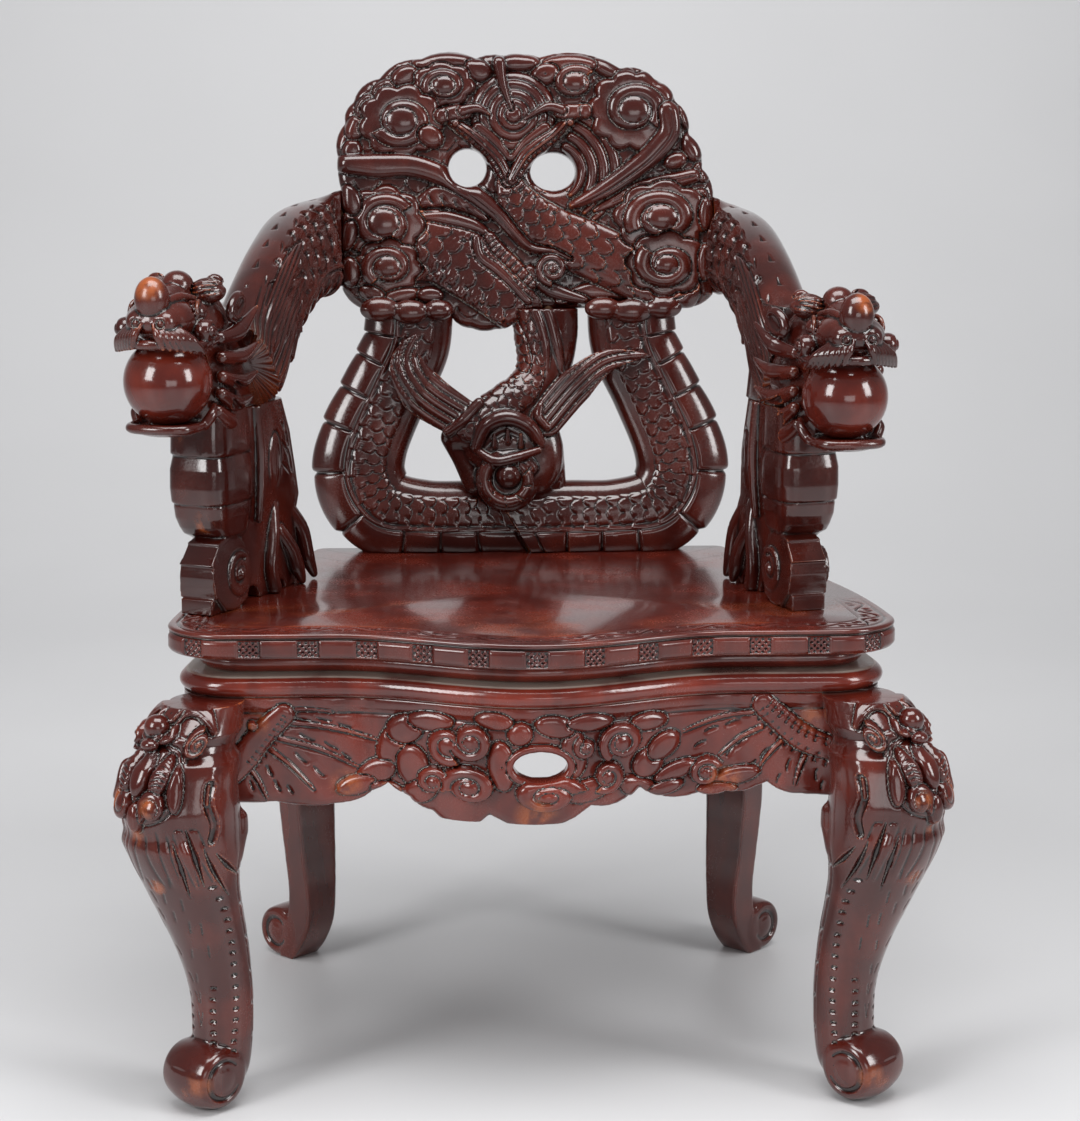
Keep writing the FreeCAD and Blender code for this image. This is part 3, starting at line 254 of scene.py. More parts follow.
class Block:
    """A block of wood kept as distances on a grid of cells, negative inside, in millimetres."""

    def __init__(self, low, high, cell):
        self.low, self.cell = np.array(low, float), cell
        counts = np.ceil((np.array(high, float) - self.low) / cell).astype(int) + 1
        self.axes = [self.low[i] + cell * np.arange(counts[i]) for i in range(3)]
        self.f = np.full(counts, 20.0, np.float32)

    def near(self, low, high):
        """Cells between two corners and their coordinates."""
        window, places = [], []
        for i in range(3):
            start = max(int((low[i] - self.low[i]) / self.cell), 0)
            end = min(int((high[i] - self.low[i]) / self.cell) + 2, len(self.axes[i]))
            window.append(slice(start, max(end, start)))
            form = [1, 1, 1]
            form[i] = -1
            places.append(self.axes[i][window[i]].reshape(form))
        return tuple(window), places

    def join(self, window, inside, blend=0.0, cut=False):
        """Add a shape to the block or cut it away, with a blended corner."""
        f = self.f[window]
        if f.size == 0:
            return
        if cut:
            self.f[window] = -(soft_min(-f, inside, blend) if blend > 0 else np.minimum(-f, inside))
        else:
            self.f[window] = soft_min(f, inside, blend) if blend > 0 else np.minimum(f, inside)

    def ball(self, centre, radii, blend=1.5, turn=None, cut=False):
        """Add or cut an egg; turn holds its three axes as rows."""
        radii = np.array(radii if np.ndim(radii) else [radii] * 3, float)
        reach = radii.max() + 3 * blend + 2 * self.cell
        centre = np.array(centre, float)
        window, (x, y, z) = self.near(centre - reach, centre + reach)
        x, y, z = x - centre[0], y - centre[1], z - centre[2]
        if turn is not None:
            x, y, z = [row[0] * x + row[1] * y + row[2] * z for row in np.asarray(turn, float)]
        near = np.sqrt((x / radii[0]) ** 2 + (y / radii[1]) ** 2 + (z / radii[2]) ** 2) + 1e-6
        slope = np.sqrt((x / radii[0] ** 2) ** 2 + (y / radii[1] ** 2) ** 2
                        + (z / radii[2] ** 2) ** 2) + 1e-9
        self.join(window, near * (near - 1) / slope, blend, cut)

    def strand(self, points, radii, blend=1.5, count=0, cut=False, flat=None):
        """Add or cut a smooth strand of changing thickness; flat is (direction, share) that thins it."""
        points = np.asarray(points, float)
        count = count or 5 * len(points)
        way = spread(points, count) if len(points) > 2 else np.linspace(points[0], points[-1], 2)
        radius = np.interp(np.linspace(0, 1, len(way)), np.linspace(0, 1, len(radii)), radii)
        reach = max(radii) + 3 * blend + 2 * self.cell
        window, (x, y, z) = self.near(way.min(0) - reach, way.max(0) + reach)
        best = np.full(self.f[window].shape, 99.0, np.float32)
        for i in range(len(way) - 1):
            step = way[i + 1] - way[i]
            u, v, w = x - way[i, 0], y - way[i, 1], z - way[i, 2]
            t = np.clip((u * step[0] + v * step[1] + w * step[2]) / (step @ step + 1e-9), 0, 1)
            u, v, w = u - step[0] * t, v - step[1] * t, w - step[2] * t
            square = u * u + v * v + w * w
            if flat is not None:
                n, thin = flat
                square = square + (u * n[0] + v * n[1] + w * n[2]) ** 2 * (1 / thin ** 2 - 1)
            best = np.minimum(best, np.sqrt(square) - radius[i] - (radius[i + 1] - radius[i]) * t)
        self.join(window, best, blend, cut)

    def surface(self):
        """Corner points in millimetres and the faces of the carved surface."""
        grid = openvdb.FloatGrid()
        grid.background = 20.0
        grid.copyFromArray(np.ascontiguousarray(np.clip(self.f, -20, 20), dtype=np.float32))
        points, triangles, quads = grid.convertToPolygons(isovalue=0.0, adaptivity=0.0)
        return self.low + points * self.cell, [triangles, quads]


def soft_min(a, b, blend):
    """Smaller of two distances, rounded where they meet."""
    mix = np.clip(0.5 + 0.5 * (a - b) / blend, 0, 1)
    return a + (b - a) * mix - blend * mix * (1 - mix)


def ring_surface(rings):
    """Points and faces of a closed skin over rows of ring points."""
    rows, around = rings.shape[:2]
    points = np.concatenate([rings.reshape(-1, 3), rings[0].mean(0)[None], rings[-1].mean(0)[None]])
    i, j = np.meshgrid(np.arange(rows - 1), np.arange(around), indexing="ij")
    k = (j + 1) % around
    quads = np.stack([i * around + j, i * around + k, (i + 1) * around + k, (i + 1) * around + j],
                     -1).reshape(-1, 4)
    j = np.arange(around)
    k = (j + 1) % around
    first, last = rows * around, rows * around + 1
    end = (rows - 1) * around
    caps = np.concatenate([np.stack([k, j, np.full(around, first)], -1),
                           np.stack([end + j, end + k, np.full(around, last)], -1)])
    return points, [caps, quads]


def make_piece(name, shells, material, limit=0):
    """Turn shells of points in millimetres and faces into one finished object."""
    points, faces, start = [], [], 0
    for shell_points, shell_faces in shells:
        points.append(shell_points)
        faces += [group + start for group in shell_faces if len(group)]
        start += len(shell_points)
    points = np.concatenate(points) * MM
    mesh = bpy.data.meshes.new(name)
    mesh.vertices.add(len(points))
    mesh.vertices.foreach_set("co", points.astype(np.float32).ravel())
    lengths = np.concatenate([np.full(len(group), group.shape[1]) for group in faces])
    corners = np.concatenate([group.ravel() for group in faces]).astype(np.int32)
    mesh.loops.add(len(corners))
    mesh.loops.foreach_set("vertex_index", corners)
    mesh.polygons.add(len(lengths))
    mesh.polygons.foreach_set("loop_start", np.concatenate([[0], np.cumsum(lengths)[:-1]]).astype(np.int32))
    mesh.update(calc_edges=True)
    mesh.validate()
    piece = bpy.data.objects.new(name, mesh)
    bpy.context.scene.collection.objects.link(piece)
    bpy.ops.object.select_all(action="DESELECT")
    piece.select_set(True)
    bpy.context.view_layer.objects.active = piece
    outward_normals(mesh)
    triangles = int((lengths - 2).sum())
    if limit and triangles > limit:
        bpy.ops.object.modifier_add(type="DECIMATE")
        piece.modifiers[-1].ratio = limit / triangles
        bpy.ops.object.modifier_apply(modifier=piece.modifiers[-1].name)
    bpy.ops.object.shade_smooth()
    note_wear_and_shade(piece.data)
    piece.data.materials.append(material)
    return piece


def outward_normals(mesh):
    """Turn a closed mesh right side out if its volume is negative."""
    mesh.calc_loop_triangles()
    count = len(mesh.loop_triangles)
    corners = np.zeros(count * 3, np.int32)
    mesh.loop_triangles.foreach_get("vertices", corners)
    places = np.zeros(len(mesh.vertices) * 3, np.float32)
    mesh.vertices.foreach_get("co", places)
    a, b, c = places.reshape(-1, 3)[corners.reshape(-1, 3)].transpose(1, 0, 2)
    if np.einsum("ij,ij->i", a, np.cross(b, c)).sum() < 0:
        mesh.flip_normals()


def note_wear_and_shade(mesh):
    """Keep how hollow (above 0) or proud (below 0) each point is, for dust, wear and the painted shade in
    the hollows.
    """
    count = len(mesh.vertices)
    places, normals = np.zeros(count * 3, np.float32), np.zeros(count * 3, np.float32)
    mesh.vertices.foreach_get("co", places)
    mesh.vertices.foreach_get("normal", normals)
    places, normals = places.reshape(-1, 3) / MM, normals.reshape(-1, 3)
    ends = np.zeros(len(mesh.edges) * 2, np.int32)
    mesh.edges.foreach_get("vertices", ends)
    a, b = ends.reshape(-1, 2).T
    number = np.maximum(np.bincount(a, minlength=count) + np.bincount(b, minlength=count), 1)

    def average(values):
        """Mean over each point's neighbours."""
        total = np.bincount(a, values[b], count) + np.bincount(b, values[a], count)
        return total / number

    near = np.stack([average(places[:, i]) for i in range(3)], 1)
    wide = np.stack([average(near[:, i]) for i in range(3)], 1)
    length = np.sqrt(((places[a] - places[b]) ** 2).sum(1))
    size = (np.bincount(a, length, count) + np.bincount(b, length, count)) / number
    bend = ((wide - places) * normals).sum(1) / np.maximum(size, 0.3) ** 2
    bend = 0.5 * bend + 0.5 * average(bend)
    field = mesh.attributes.new("hollow", "FLOAT", "POINT")
    field.data.foreach_set("value", np.clip(bend, -1, 1).astype(np.float32))
    rub = np.zeros(count, np.float32)
    for x, y, z, reach in RUBBED:
        far = np.sqrt((np.abs(places[:, 0]) - x) ** 2 + (places[:, 1] - y) ** 2 + (places[:, 2] - z) ** 2)
        rub = np.maximum(rub, smooth(reach, 0.35 * reach, far))
    field = mesh.attributes.new("rubbed", "FLOAT", "POINT")
    field.data.foreach_set("value", rub.astype(np.float32))


def finish_piece(piece, slot, *nodes, body="chair"):
    """Ride on a body and stand for the frame's nodes; the slot argument is not used."""
    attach(piece, body)
    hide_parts(*nodes)


def back_place(points):
    """Points (x, depth, height) of the upright back, raked and set on the seat."""
    c, s = math.cos(BACK_RAKE), math.sin(BACK_RAKE)
    x, depth, height = points[:, 0], points[:, 1], points[:, 2]
    return np.stack([x, BACK_FRONT + depth * c + height * s, SEAT_TOP + height * c - depth * s], 1)


def bow(x):
    """How far the seat's front bows out at x."""
    return np.where(np.abs(x) < SEAT_BOW_HALF, SEAT_BOW * 0.5 * (1 + np.cos(np.pi * x / SEAT_BOW_HALF)), 0)


# Finishes

class Nodes:
    """Short hand for building one material's node tree."""

    def __init__(self, name):
        self.material = bpy.data.materials.new(name)
        self.material.use_nodes = True
        self.tree = self.material.node_tree
        self.shader = self.tree.nodes["Principled BSDF"]
        self.place = self.add("ShaderNodeTexCoord").outputs["Object"]

    def add(self, kind, **settings):
        """Add a node and set its properties."""
        node = self.tree.nodes.new(kind)
        for key, value in settings.items():
            setattr(node, key, value)
        return node

    def feed(self, socket, value):
        """Set a socket to a constant or link another socket to it."""
        if isinstance(value, bpy.types.NodeSocket):
            self.tree.links.new(value, socket)
        elif isinstance(value, (int, float)):
            socket.default_value = value
        else:
            socket.default_value = (*value, 1.0)[:len(socket.default_value)]

    def noise(self, scale, detail=3.0, stretch=(1, 1, 1)):
        """Noise on the piece's own coordinates, with scale in features per metre."""
        turn = self.add("ShaderNodeMapping")
        turn.inputs["Scale"].default_value = stretch
        self.feed(turn.inputs["Vector"], self.place)
        node = self.add("ShaderNodeTexNoise")
        node.inputs["Scale"].default_value = scale
        node.inputs["Detail"].default_value = detail
        self.feed(node.inputs["Vector"], turn.outputs["Vector"])
        return node.outputs["Fac"]

    def ramp(self, value, low, high, to_low=0.0, to_high=1.0):
        """Map a value from one range to another, softly and clamped."""
        node = self.add("ShaderNodeMapRange", interpolation_type="SMOOTHSTEP")
        for key, number in (("From Min", low), ("From Max", high), ("To Min", to_low), ("To Max", to_high)):
            node.inputs[key].default_value = number
        self.feed(node.inputs["Value"], value)
        return node.outputs["Result"]

    def maths(self, kind, a, b):
        """One sum of two values."""
        node = self.add("ShaderNodeMath", operation=kind)
        self.feed(node.inputs[0], a)
        self.feed(node.inputs[1], b)
        return node.outputs["Value"]

    def mix(self, share, a, b):
        """Blend two colours."""
        node = self.add("ShaderNodeMix", data_type="RGBA")
        self.feed(node.inputs["Factor"], share)
        self.feed(node.inputs[6], a)
        self.feed(node.inputs[7], b)
        return node.outputs[2]

    def attribute(self, name):
        """Value kept at each point of the mesh."""
        return self.add("ShaderNodeAttribute", attribute_name=name).outputs["Fac"]

    def bump(self, height, strength, distance):
        """Fine surface relief."""
        node = self.add("ShaderNodeBump")
        node.inputs["Strength"].default_value = strength
        node.inputs["Distance"].default_value = distance
        self.feed(node.inputs["Height"], height)
        self.feed(self.shader.inputs["Normal"], node.outputs["Normal"])


def lacquer_finish(name, tone_and_painted_light=1.0, worn=1.0, dust=1.0, rough=0.19, seams=()):
    """Glossy red-brown lacquer: painted shade darkening the hollows, dusty grooves and seams, orange wear on
    edges; the tone scales the lacquer and is raised on some parts as painted light.
    """
    c = colours()
    n = Nodes(name)
    hollow = n.attribute("hollow")
    rubbed = n.attribute("rubbed")
    cloud = n.noise(16.0, 4.0)
    grain = n.noise(38.0, 5.0, (1.0, 1.0, 0.09))
    speck = n.noise(420.0, 2.0)
    lit = tuple(v * tone_and_painted_light for v in c.lacquer)
    warm = (lit[0] * 1.9, lit[1] * 1.9, lit[2] * 1.5)
    colour = n.mix(n.ramp(cloud, 0.38, 0.68), lit, warm)
    colour = n.mix(n.ramp(grain, 0.45, 0.75, 0.0, 0.5), colour, tuple(v * 0.5 for v in lit))
    # Painted shade: the hollows are darkened towards the near-black shade colour
    colour = n.mix(n.ramp(hollow, 0.0, 0.13), colour, tuple(c.shade))
    edge = n.maths("MULTIPLY", n.ramp(hollow, -0.15, -0.45, 0.0, 0.7 * worn), n.ramp(cloud, 0.4, 0.62))
    patch = n.maths("MULTIPLY", rubbed, n.ramp(n.noise(70.0, 4.0), 0.36, 0.6, 0.0, 0.75))
    edge = n.maths("MAXIMUM", edge, patch)
    colour = n.mix(edge, colour, tuple(c.worn))
    grime = n.maths("MULTIPLY", n.ramp(hollow, 0.22, 0.5, 0.0, 0.85 * dust),
                    n.ramp(cloud, 0.34, 0.58, 0.2, 1.0))
    if seams:
        height = n.add("ShaderNodeSeparateXYZ")
        n.feed(height.inputs[0], n.place)
        for level in seams:
            off = n.maths("ABSOLUTE", n.maths("SUBTRACT", height.outputs["Z"], level * MM), 0.0)
            line = n.maths("MULTIPLY", n.ramp(off, 0.0016, 0.0007), n.ramp(cloud, 0.34, 0.56, 0.3, 0.9))
            grime = n.maths("MAXIMUM", grime, line)
    colour = n.mix(grime, colour, tuple(c.dust))
    n.feed(n.shader.inputs["Base Color"], colour)
    gloss = n.ramp(speck, 0.3, 0.7, rough - 0.05, rough + 0.05)
    gloss = n.maths("ADD", gloss, n.maths("MULTIPLY", grime, 0.4))
    gloss = n.maths("ADD", gloss, n.maths("MULTIPLY", edge, 0.15))
    gloss = n.maths("ADD", gloss, n.ramp(cloud, 0.45, 0.7, 0.0, 0.08))
    n.feed(n.shader.inputs["Roughness"], gloss)
    n.shader.inputs["Coat Weight"].default_value = 0.5
    n.shader.inputs["Coat Roughness"].default_value = 0.1
    n.bump(n.maths("ADD", grain, n.maths("MULTIPLY", speck, 0.35)), sizes().grain, 0.0012)
    return n.material


def plain_wood_finish(name):
    """Unfinished wood with grain, for what is out of sight under the seat."""
    c = colours()
    n = Nodes(name)
    grain = n.noise(30.0, 5.0, (0.08, 1.0, 1.0))
    fine = n.noise(300.0, 3.0, (0.1, 1.0, 1.0))
    dark = tuple(v * 0.45 for v in c.hidden_wood)
    colour = n.mix(n.ramp(grain, 0.35, 0.7), tuple(c.hidden_wood), dark)
    n.feed(n.shader.inputs["Base Color"], colour)
    n.feed(n.shader.inputs["Roughness"], n.ramp(fine, 0.3, 0.7, 0.55, 0.75))
    n.bump(fine, 0.25, 0.0008)
    return n.material


def steel_finish(name):
    """Dull screw steel with a little rust."""
    c = colours()
    n = Nodes(name)
    rust = n.noise(500.0, 4.0)
    colour = n.mix(n.ramp(rust, 0.5, 0.7), tuple(c.steel), (0.12, 0.045, 0.02))
    n.feed(n.shader.inputs["Base Color"], colour)
    n.shader.inputs["Metallic"].default_value = 0.9
    n.feed(n.shader.inputs["Roughness"], n.ramp(rust, 0.35, 0.7, 0.35, 0.7))
    n.bump(rust, 0.1, 0.0004)
    return n.material


# Lacquers: name of the material, tone, wear, dust, roughness and heights of dusty seams; the raised tones of
# the moulding, seat and apron are painted light, lighter copies of the same lacquer for the low front light
# on these parts
LACQUERS = {
    "lacquer": ("red_lacquer", 0.75),
    "dark": ("dark_lacquer", 0.65, 0.3, 0.5, 0.17),
    "leg": ("leg_lacquer", 1.1, 0.9, 1.0, 0.17),
    "moulding": ("moulding_lacquer", 2.2, 0.5, 0.6, 0.17, (436.5, 416, 396)),
    "seat": ("seat_lacquer", 1.3, 0.25, 0.9, 0.2),
    "apron": ("apron_lacquer", 1.8, 1.2, 1.0, 0.2),
    "pearl": ("pearl_lacquer", 1.4, 1.0, 0.5, 0.13),
}
FINISHES = {}


def finish_for(name):
    """The shared finishes, each made once."""
    if name not in FINISHES:
        if name == "hidden":
            FINISHES[name] = plain_wood_finish("bare_wood")
        elif name == "steel":
            FINISHES[name] = steel_finish("screw_metal")
        else:
            FINISHES[name] = lacquer_finish(*LACQUERS[name])
    return FINISHES[name]


def dress_nodes(finish, *names):
    """Give nodes of the frame that stay in sight one of the finishes."""
    for name in names:
        mesh = NODES[name].data
        mesh.materials.clear()
        mesh.materials.append(finish_for(finish))


# Crest

def outline_points(cusps):
    """Points round an outline of (a, b, bend) cusps; a bend bows the stretch to the next cusp."""
    points = []
    for (a, b, bend), (c, d, _) in zip(cusps, cusps[1:] + cusps[:1]):
        start, end = np.array([a, b]), np.array([c, d])
        across = np.array([-(d - b), c - a])
        for t in np.linspace(0, 1, 7 if bend else 2)[:-1]:
            points.append(start + (end - start) * t + across * bend * 4 * t * (1 - t))
    return np.array(points)


def outline_distance(points, a, b):
    """Distance to a closed outline, negative inside."""
    best = np.full(a.shape, 1e9)
    inside = np.zeros(a.shape, bool)
    for p, q in zip(points, np.roll(points, -1, 0)):
        step = q - p
        t = np.clip(((a - p[0]) * step[0] + (b - p[1]) * step[1]) / (step @ step + 1e-9), 0, 1)
        best = np.minimum(best, (a - p[0] - step[0] * t) ** 2 + (b - p[1] - step[1] * t) ** 2)
        crosses = (p[1] > b) != (q[1] > b)
        reach = p[0] + (b - p[1]) * step[0] / (step[1] if step[1] else 1e-9)
        inside ^= crosses & (a < reach)
    return np.where(inside, -1, 1) * np.sqrt(best)


CREST_CUSPS = [
    (-190, 283, 0), (-190, 388, 0.05), (-193, 422, 0.14), (-185, 458, 0.16), (-176, 480, 0.16),
    (-148, 505, 0.14), (-104, 525, 0.13), (-46, 526, 0.08), (-16, 529, 0.08), (5, 530, 0.07),
    (21, 527, 0.12), (107, 515, 0.17), (143, 504, 0.14), (166, 481, 0.14), (180, 446, 0.16),
    (194, 410, 0.12), (207, 380, 0), (207, 276, 0.1), (179, 262, 0), (6, 262, 0), (-4, 250, 0.14),
    (-26, 240, 0.1), (-52, 241, 0.14), (-74, 254, 0.05), (-82, 262, 0), (-169, 262, 0.1),
]
CREST_HOLES = ((-55.5, 411, 20, 20), (35.5, 407, 24, 20))


def cloud(sheet, a, b, radius, squash, lobes, height, level):
    """Cloud with a scalloped rim."""
    x, y = sheet.a - a, (sheet.b - b) / squash
    rim = radius * (0.9 + 0.13 * np.abs(np.cos(0.5 * lobes * np.arctan2(y, x) + 0.4)))
    sheet.lay(np.sqrt(x * x + y * y) - rim, height, 8, level)


def hide(sheet, points, widths, length, row, column, rise, dome, level):
    """Rounded body covered with scales."""
    body, along, across = sheet.line(points, widths)
    round_top = dome * np.sqrt(np.clip(1 - (across / (max(widths) + 2)) ** 2, 0, 1))
    sheet.h = np.where(body < 0, level + round_top + scales(along * length, across, row, column, rise),
                       sheet.h)
    sheet.h -= 1.6 * np.exp(-(body / 1.6) ** 2)


def draw_crest(sheet):
    """Clouds, two long-necked birds, ribbons and scaled bodies over the crest."""
    sheet.h = scales(-sheet.b, sheet.a, 22, 27, 3.0)
    for (a, b), half_a, half_b, turn in (
            ((-178, 428), 14, 11, 1.3), ((-174, 453), 14, 11, 1.2), ((-162, 475), 15, 11, 0.9),
            ((-143, 492), 15, 11, 0.6), ((-121, 507), 16, 11, 0.4), ((-187, 416), 8, 7, 0),
            ((178, 465), 16, 11, -1.1), ((184, 433), 17, 12, -1.3), ((194, 406), 12, 10, -1.2),
            ((100, 513), 27, 11, -0.35), ((53, 519), 30, 11, 0), ((-2, 521), 24, 10, 0),
            ((-78, 521), 36, 11, 0.0), ((-44, 513), 16, 12, -0.4), ((27, 509), 16, 12, 0.3)):
        sheet.lay(sheet.disc(a, b, half_a, half_b, turn), 6, 8, 2.5)
    sheet.lay(sheet.disc(-7, 466, 46, 46), 7, 14, 2.0)
    for radius, rise in ((37, 3.0), (27, 3.0), (17, 3.4), (9, 3.0)):
        sheet.lay(sheet.disc(-7, 466, radius, radius), rise, 6, None, 1.6)
    sheet.lay(sheet.line([(-22, 521), (-18, 498), (-9, 472)], [7, 5, 3])[0], 6, 5, 12)
    sheet.lay(sheet.line([(-44, 452), (-26, 438), (-10, 421), (7, 438), (26, 452)], [7, 6, 4, 6, 7])[0],
              4, 5, 9)
    cloud(sheet, -81, 498, 34, 0.7, 7, 6, 3)
    sheet.scroll(-80, 497, 25, 9, 1.3, 2.6, -1, 0.78, 0.5, 5)
    cloud(sheet, -126, 460, 45, 0.86, 9, 7, 4)
    sheet.scroll(-125, 460, 35, 10, 1.25, 3.6, 1, 0.86, 0.48, 7)
    sheet.lay(sheet.disc(-95, 444, 15, 12, -0.5), 6, 8, 8)
    for radius in (66, 54, 42, 30):
        arc = [(35 + radius * math.cos(t), 406 + radius * math.sin(t))
               for t in np.linspace(-0.9, 1.1, 9)]
        sheet.lay(sheet.line(arc, [3, 6.5, 5])[0], 4.5, 6, 3)
    cloud(sheet, 120, 471, 48, 0.9, 10, 7, 4)
    sheet.scroll(120, 471, 37, 10, 1.25, 5.6, 1, 0.88, 0.45, 7)
    sheet.scroll(58, 500, 25, 8, 1.25, 0.6, 1, 0.8, 0.5, 5)
    for points, widths in (([(80, 366), (127, 387), (185, 402)], [3, 10, 8]),
                           ([(104, 360), (143, 373), (193, 381)], [3, 9, 8])):
        leaf, along, across = sheet.line(points, widths)
        sheet.lay(leaf, 6, 8, 4)
        sheet.h -= 1.2 * np.exp(-(across / 1.2) ** 2) * (leaf < -1)
    sheet.lay(sheet.disc(165, 418, 13, 9, 0.3), 6, 7, 6)

    hide(sheet, [(-115, 329), (-85, 327), (-54, 305), (-24, 280), (-1, 259)], [38, 38, 33, 28, 25],
         150, 16, 19, 4.5, 8, 5)
    sheet.lay(sheet.line([(42, 271), (85, 282), (149, 279)], [6, 11, 8])[0], 6, 8, 4)
    sheet.lay(sheet.line([(10, 301), (34, 282), (68, 271)], [8, 9, 6])[0], 6, 8, 4)
    hide(sheet, [(-12, 394), (1, 369), (32, 344), (74, 324), (127, 299), (166, 281)],
         [13, 22, 27, 30, 30, 26], 225, 16, 18, 4.5, 11, 5)

    fin = sheet.line([(-115, 370), (-89, 381), (-62, 377), (-36, 357)], [3, 12, 12, 3])
    sheet.lay(fin[0], 6, 7, 5)
    for spot in ((-96, 377), (-82, 374), (-68, 370), (-55, 364)):
        sheet.nick(*spot, 17, -1.0, 3.0)
    sheet.lay(sheet.line([(-107, 360), (-79, 358), (-49, 350), (-32, 339)], [4, 8, 7, 3])[0], 5, 6, 6)
    sheet.lay(sheet.line([(-47, 337), (-43, 318), (-24, 303), (-7, 286), (8, 269)], [5, 6, 6, 5, 5])[0],
              5, 5, 11)
    belly = sheet.line([(-32, 337), (-23, 324), (-6, 308), (12, 288)], [7, 8, 8, 6])
    sheet.lay(belly[0], 5, 6, 7)
    sheet.h -= 1.8 * (belly[0] < -0.5) * (np.sin(belly[1] * 60) > 0.55)

    ribbon, along, across = sheet.line(
        [(-187, 415), (-152, 413), (-115, 413), (-79, 401), (-52, 385), (-25, 364), (-7, 344), (11, 327),
         (34, 323), (53, 315)], [10, 13, 12, 11, 10, 8.5, 7, 6, 5, 3])
    sheet.lay(ribbon, 8, 10, 8)
    sheet.h -= 1.2 * np.exp(-((across + 4) / 1.2) ** 2) * (ribbon < -1) * smooth(0.3, 0.45, along)
    ribbon, along, across = sheet.line([(157, 469), (158, 448), (144, 429), (125, 412), (88, 387),
                                        (55, 371)],
                                       [12, 12, 12, 11, 9, 4])
    sheet.lay(ribbon, 7, 9, 9)
    sheet.h -= 1.2 * np.exp(-((across - 3) / 1.2) ** 2) * (ribbon < -1)
    sheet.scroll(34, 304, 20, 9, 2.0, 1.6, -1, 1.0, 0.24, 9)

    for side, neck in ((1, [(-72, 459), (-57, 449), (-40, 434), (-24, 417), (-13, 396)]),
                       (-1, [(49, 459), (37, 446), (21, 434), (6, 421), (-8, 398)])):
        line, along, across = sheet.line(neck, [5, 7, 9, 9, 7])
        sheet.lay(line, 6, 7, 9)
        sheet.h -= 1.8 * (np.sin(along * 75) > 0.2) * (across * side < -1) * (line < -0.5)
        sheet.lay(sheet.line(neck, [2.4, 2.4, 2.4, 2.2, 2.0])[0], 3, 2.4, 14)
    for head, beak, crown in (([(-84, 466), (-68, 468), (-57, 469)], [(-61, 470), (-45, 473), (-32, 466)],
                               (-83, 465)),
                              ([(68, 471), (53, 469), (42, 469)], [(44, 471), (28, 474), (3, 460)],
                               (69, 470))):
        sheet.lay(sheet.line(head, [7, 9, 7])[0], 6, 6, 12)
        sheet.lay(sheet.line(beak, [6, 5, 1.4])[0], 5, 4, 14)
        sheet.lay(sheet.disc(*crown, 7, 8), 3, 5, 14)
        sheet.lay(sheet.disc(head[1][0], head[1][1] - 11, 4.5, 4.5), 4, 4, 13)

    for spot, radius, turns, start, hand, squash, boss in (
            ((-145, 353), 37, 1.4, 0.6, 1, 0.9, 0.46), ((-141, 307), 31, 1.25, 2.2, -1, 0.82, 0.46),
            ((151, 358), 43, 1.4, 2.6, -1, 0.78, 0.4), ((156, 309), 37, 1.35, 2.4, 1, 0.8, 0.36)):
        cloud(sheet, *spot, 1.2 * radius, squash, 8, 6, 4)
        sheet.scroll(*spot, radius, 11, turns, start, hand, squash, boss, 7)
    for (a, b), half_a, half_b, turn in (
            ((-180, 377), 12, 18, 0.4), ((-183, 340), 11, 18, -0.4), ((-181, 302), 12, 16, 0.2),
            ((-128, 276), 22, 9, 0.2), ((-158, 279), 15, 9, -0.3), ((198, 362), 9, 18, 0),
            ((197, 311), 9, 20, 0), ((-96, 277), 15, 9, 0)):
        sheet.lay(sheet.disc(a, b, half_a, half_b, turn), 6, 8, 4)


class CHAIR_OT_crest(bpy.types.Operator):
    """Carve the crest rail."""

    bl_idname = "chair.crest"
    bl_label = "Crest Rail"

    def execute(self, context):
        block = Block((-204, -16, 236), (220, 48, 534), sizes().cell * COARSE)
        a, b = np.meshgrid(block.axes[0], block.axes[2], indexing="ij")
        sheet = Sheet(a, b)
        draw_crest(sheet)
        edge = outline_distance(outline_points(CREST_CUSPS), a, b)
        for x, height, half_a, half_b in CREST_HOLES:
            edge = np.maximum(edge, -sheet.disc(x, height, half_a, half_b))
        fall = 9 * (1 - np.sqrt(1 - (1 - np.clip(-edge / 11, 0, 1)) ** 2))
        front = 10 - sheet.h + fall
        slope = np.sqrt(1 + sum(g * g for g in np.gradient(front, block.cell)))
        depth = block.axes[1][None, :, None]
        ahead = (front[:, None, :] - depth) / slope[:, None, :]
        behind = depth - (BACK_THICK - 0.6 * fall[:, None, :])
        block.f = np.maximum(np.maximum(ahead, behind), edge[:, None, :]).astype(np.float32)
        for x, height, half_x, half_h in ((-150, 262, 21, 13), (-118, 259, 20, 13), (-88, 261, 16, 11),
                                          (88, 262, 20, 12), (118, 259, 22, 13), (152, 263, 20, 12)):
            block.ball((x, -3, height), (half_x, 9, half_h), 2)
        points, faces = block.surface()
        piece = make_piece("crest_carving", [(back_place(points), faces)], finish_for("lacquer"),
                           LIMITS["crest"])
        finish_piece(piece, "lacquered_wood", "crest_rail")
        return {"FINISHED"}


# Back bodies

BODY_PATH = ((117, 262, 45), (121, 222, 45), (143, 175, 45), (168, 118, 47), (171, 78, 48), (149, 46, 46),
             (104, 38, 40), (52, 37, 40), (8, 37, 40))
BODY_HALF_DEPTH = 22.0


def carved_ring(angle, squareness):
    """Shares across and out of a rounded section at each angle."""
    c, s = np.cos(angle), np.sin(angle)
    return np.sign(c) * np.abs(c) ** squareness, np.sign(s) * np.abs(s) ** squareness


def row_lengths(way):
    """Distance along a line at each of its points."""
    return np.concatenate([[0], np.cumsum(np.linalg.norm(np.diff(way, axis=0), axis=1))])


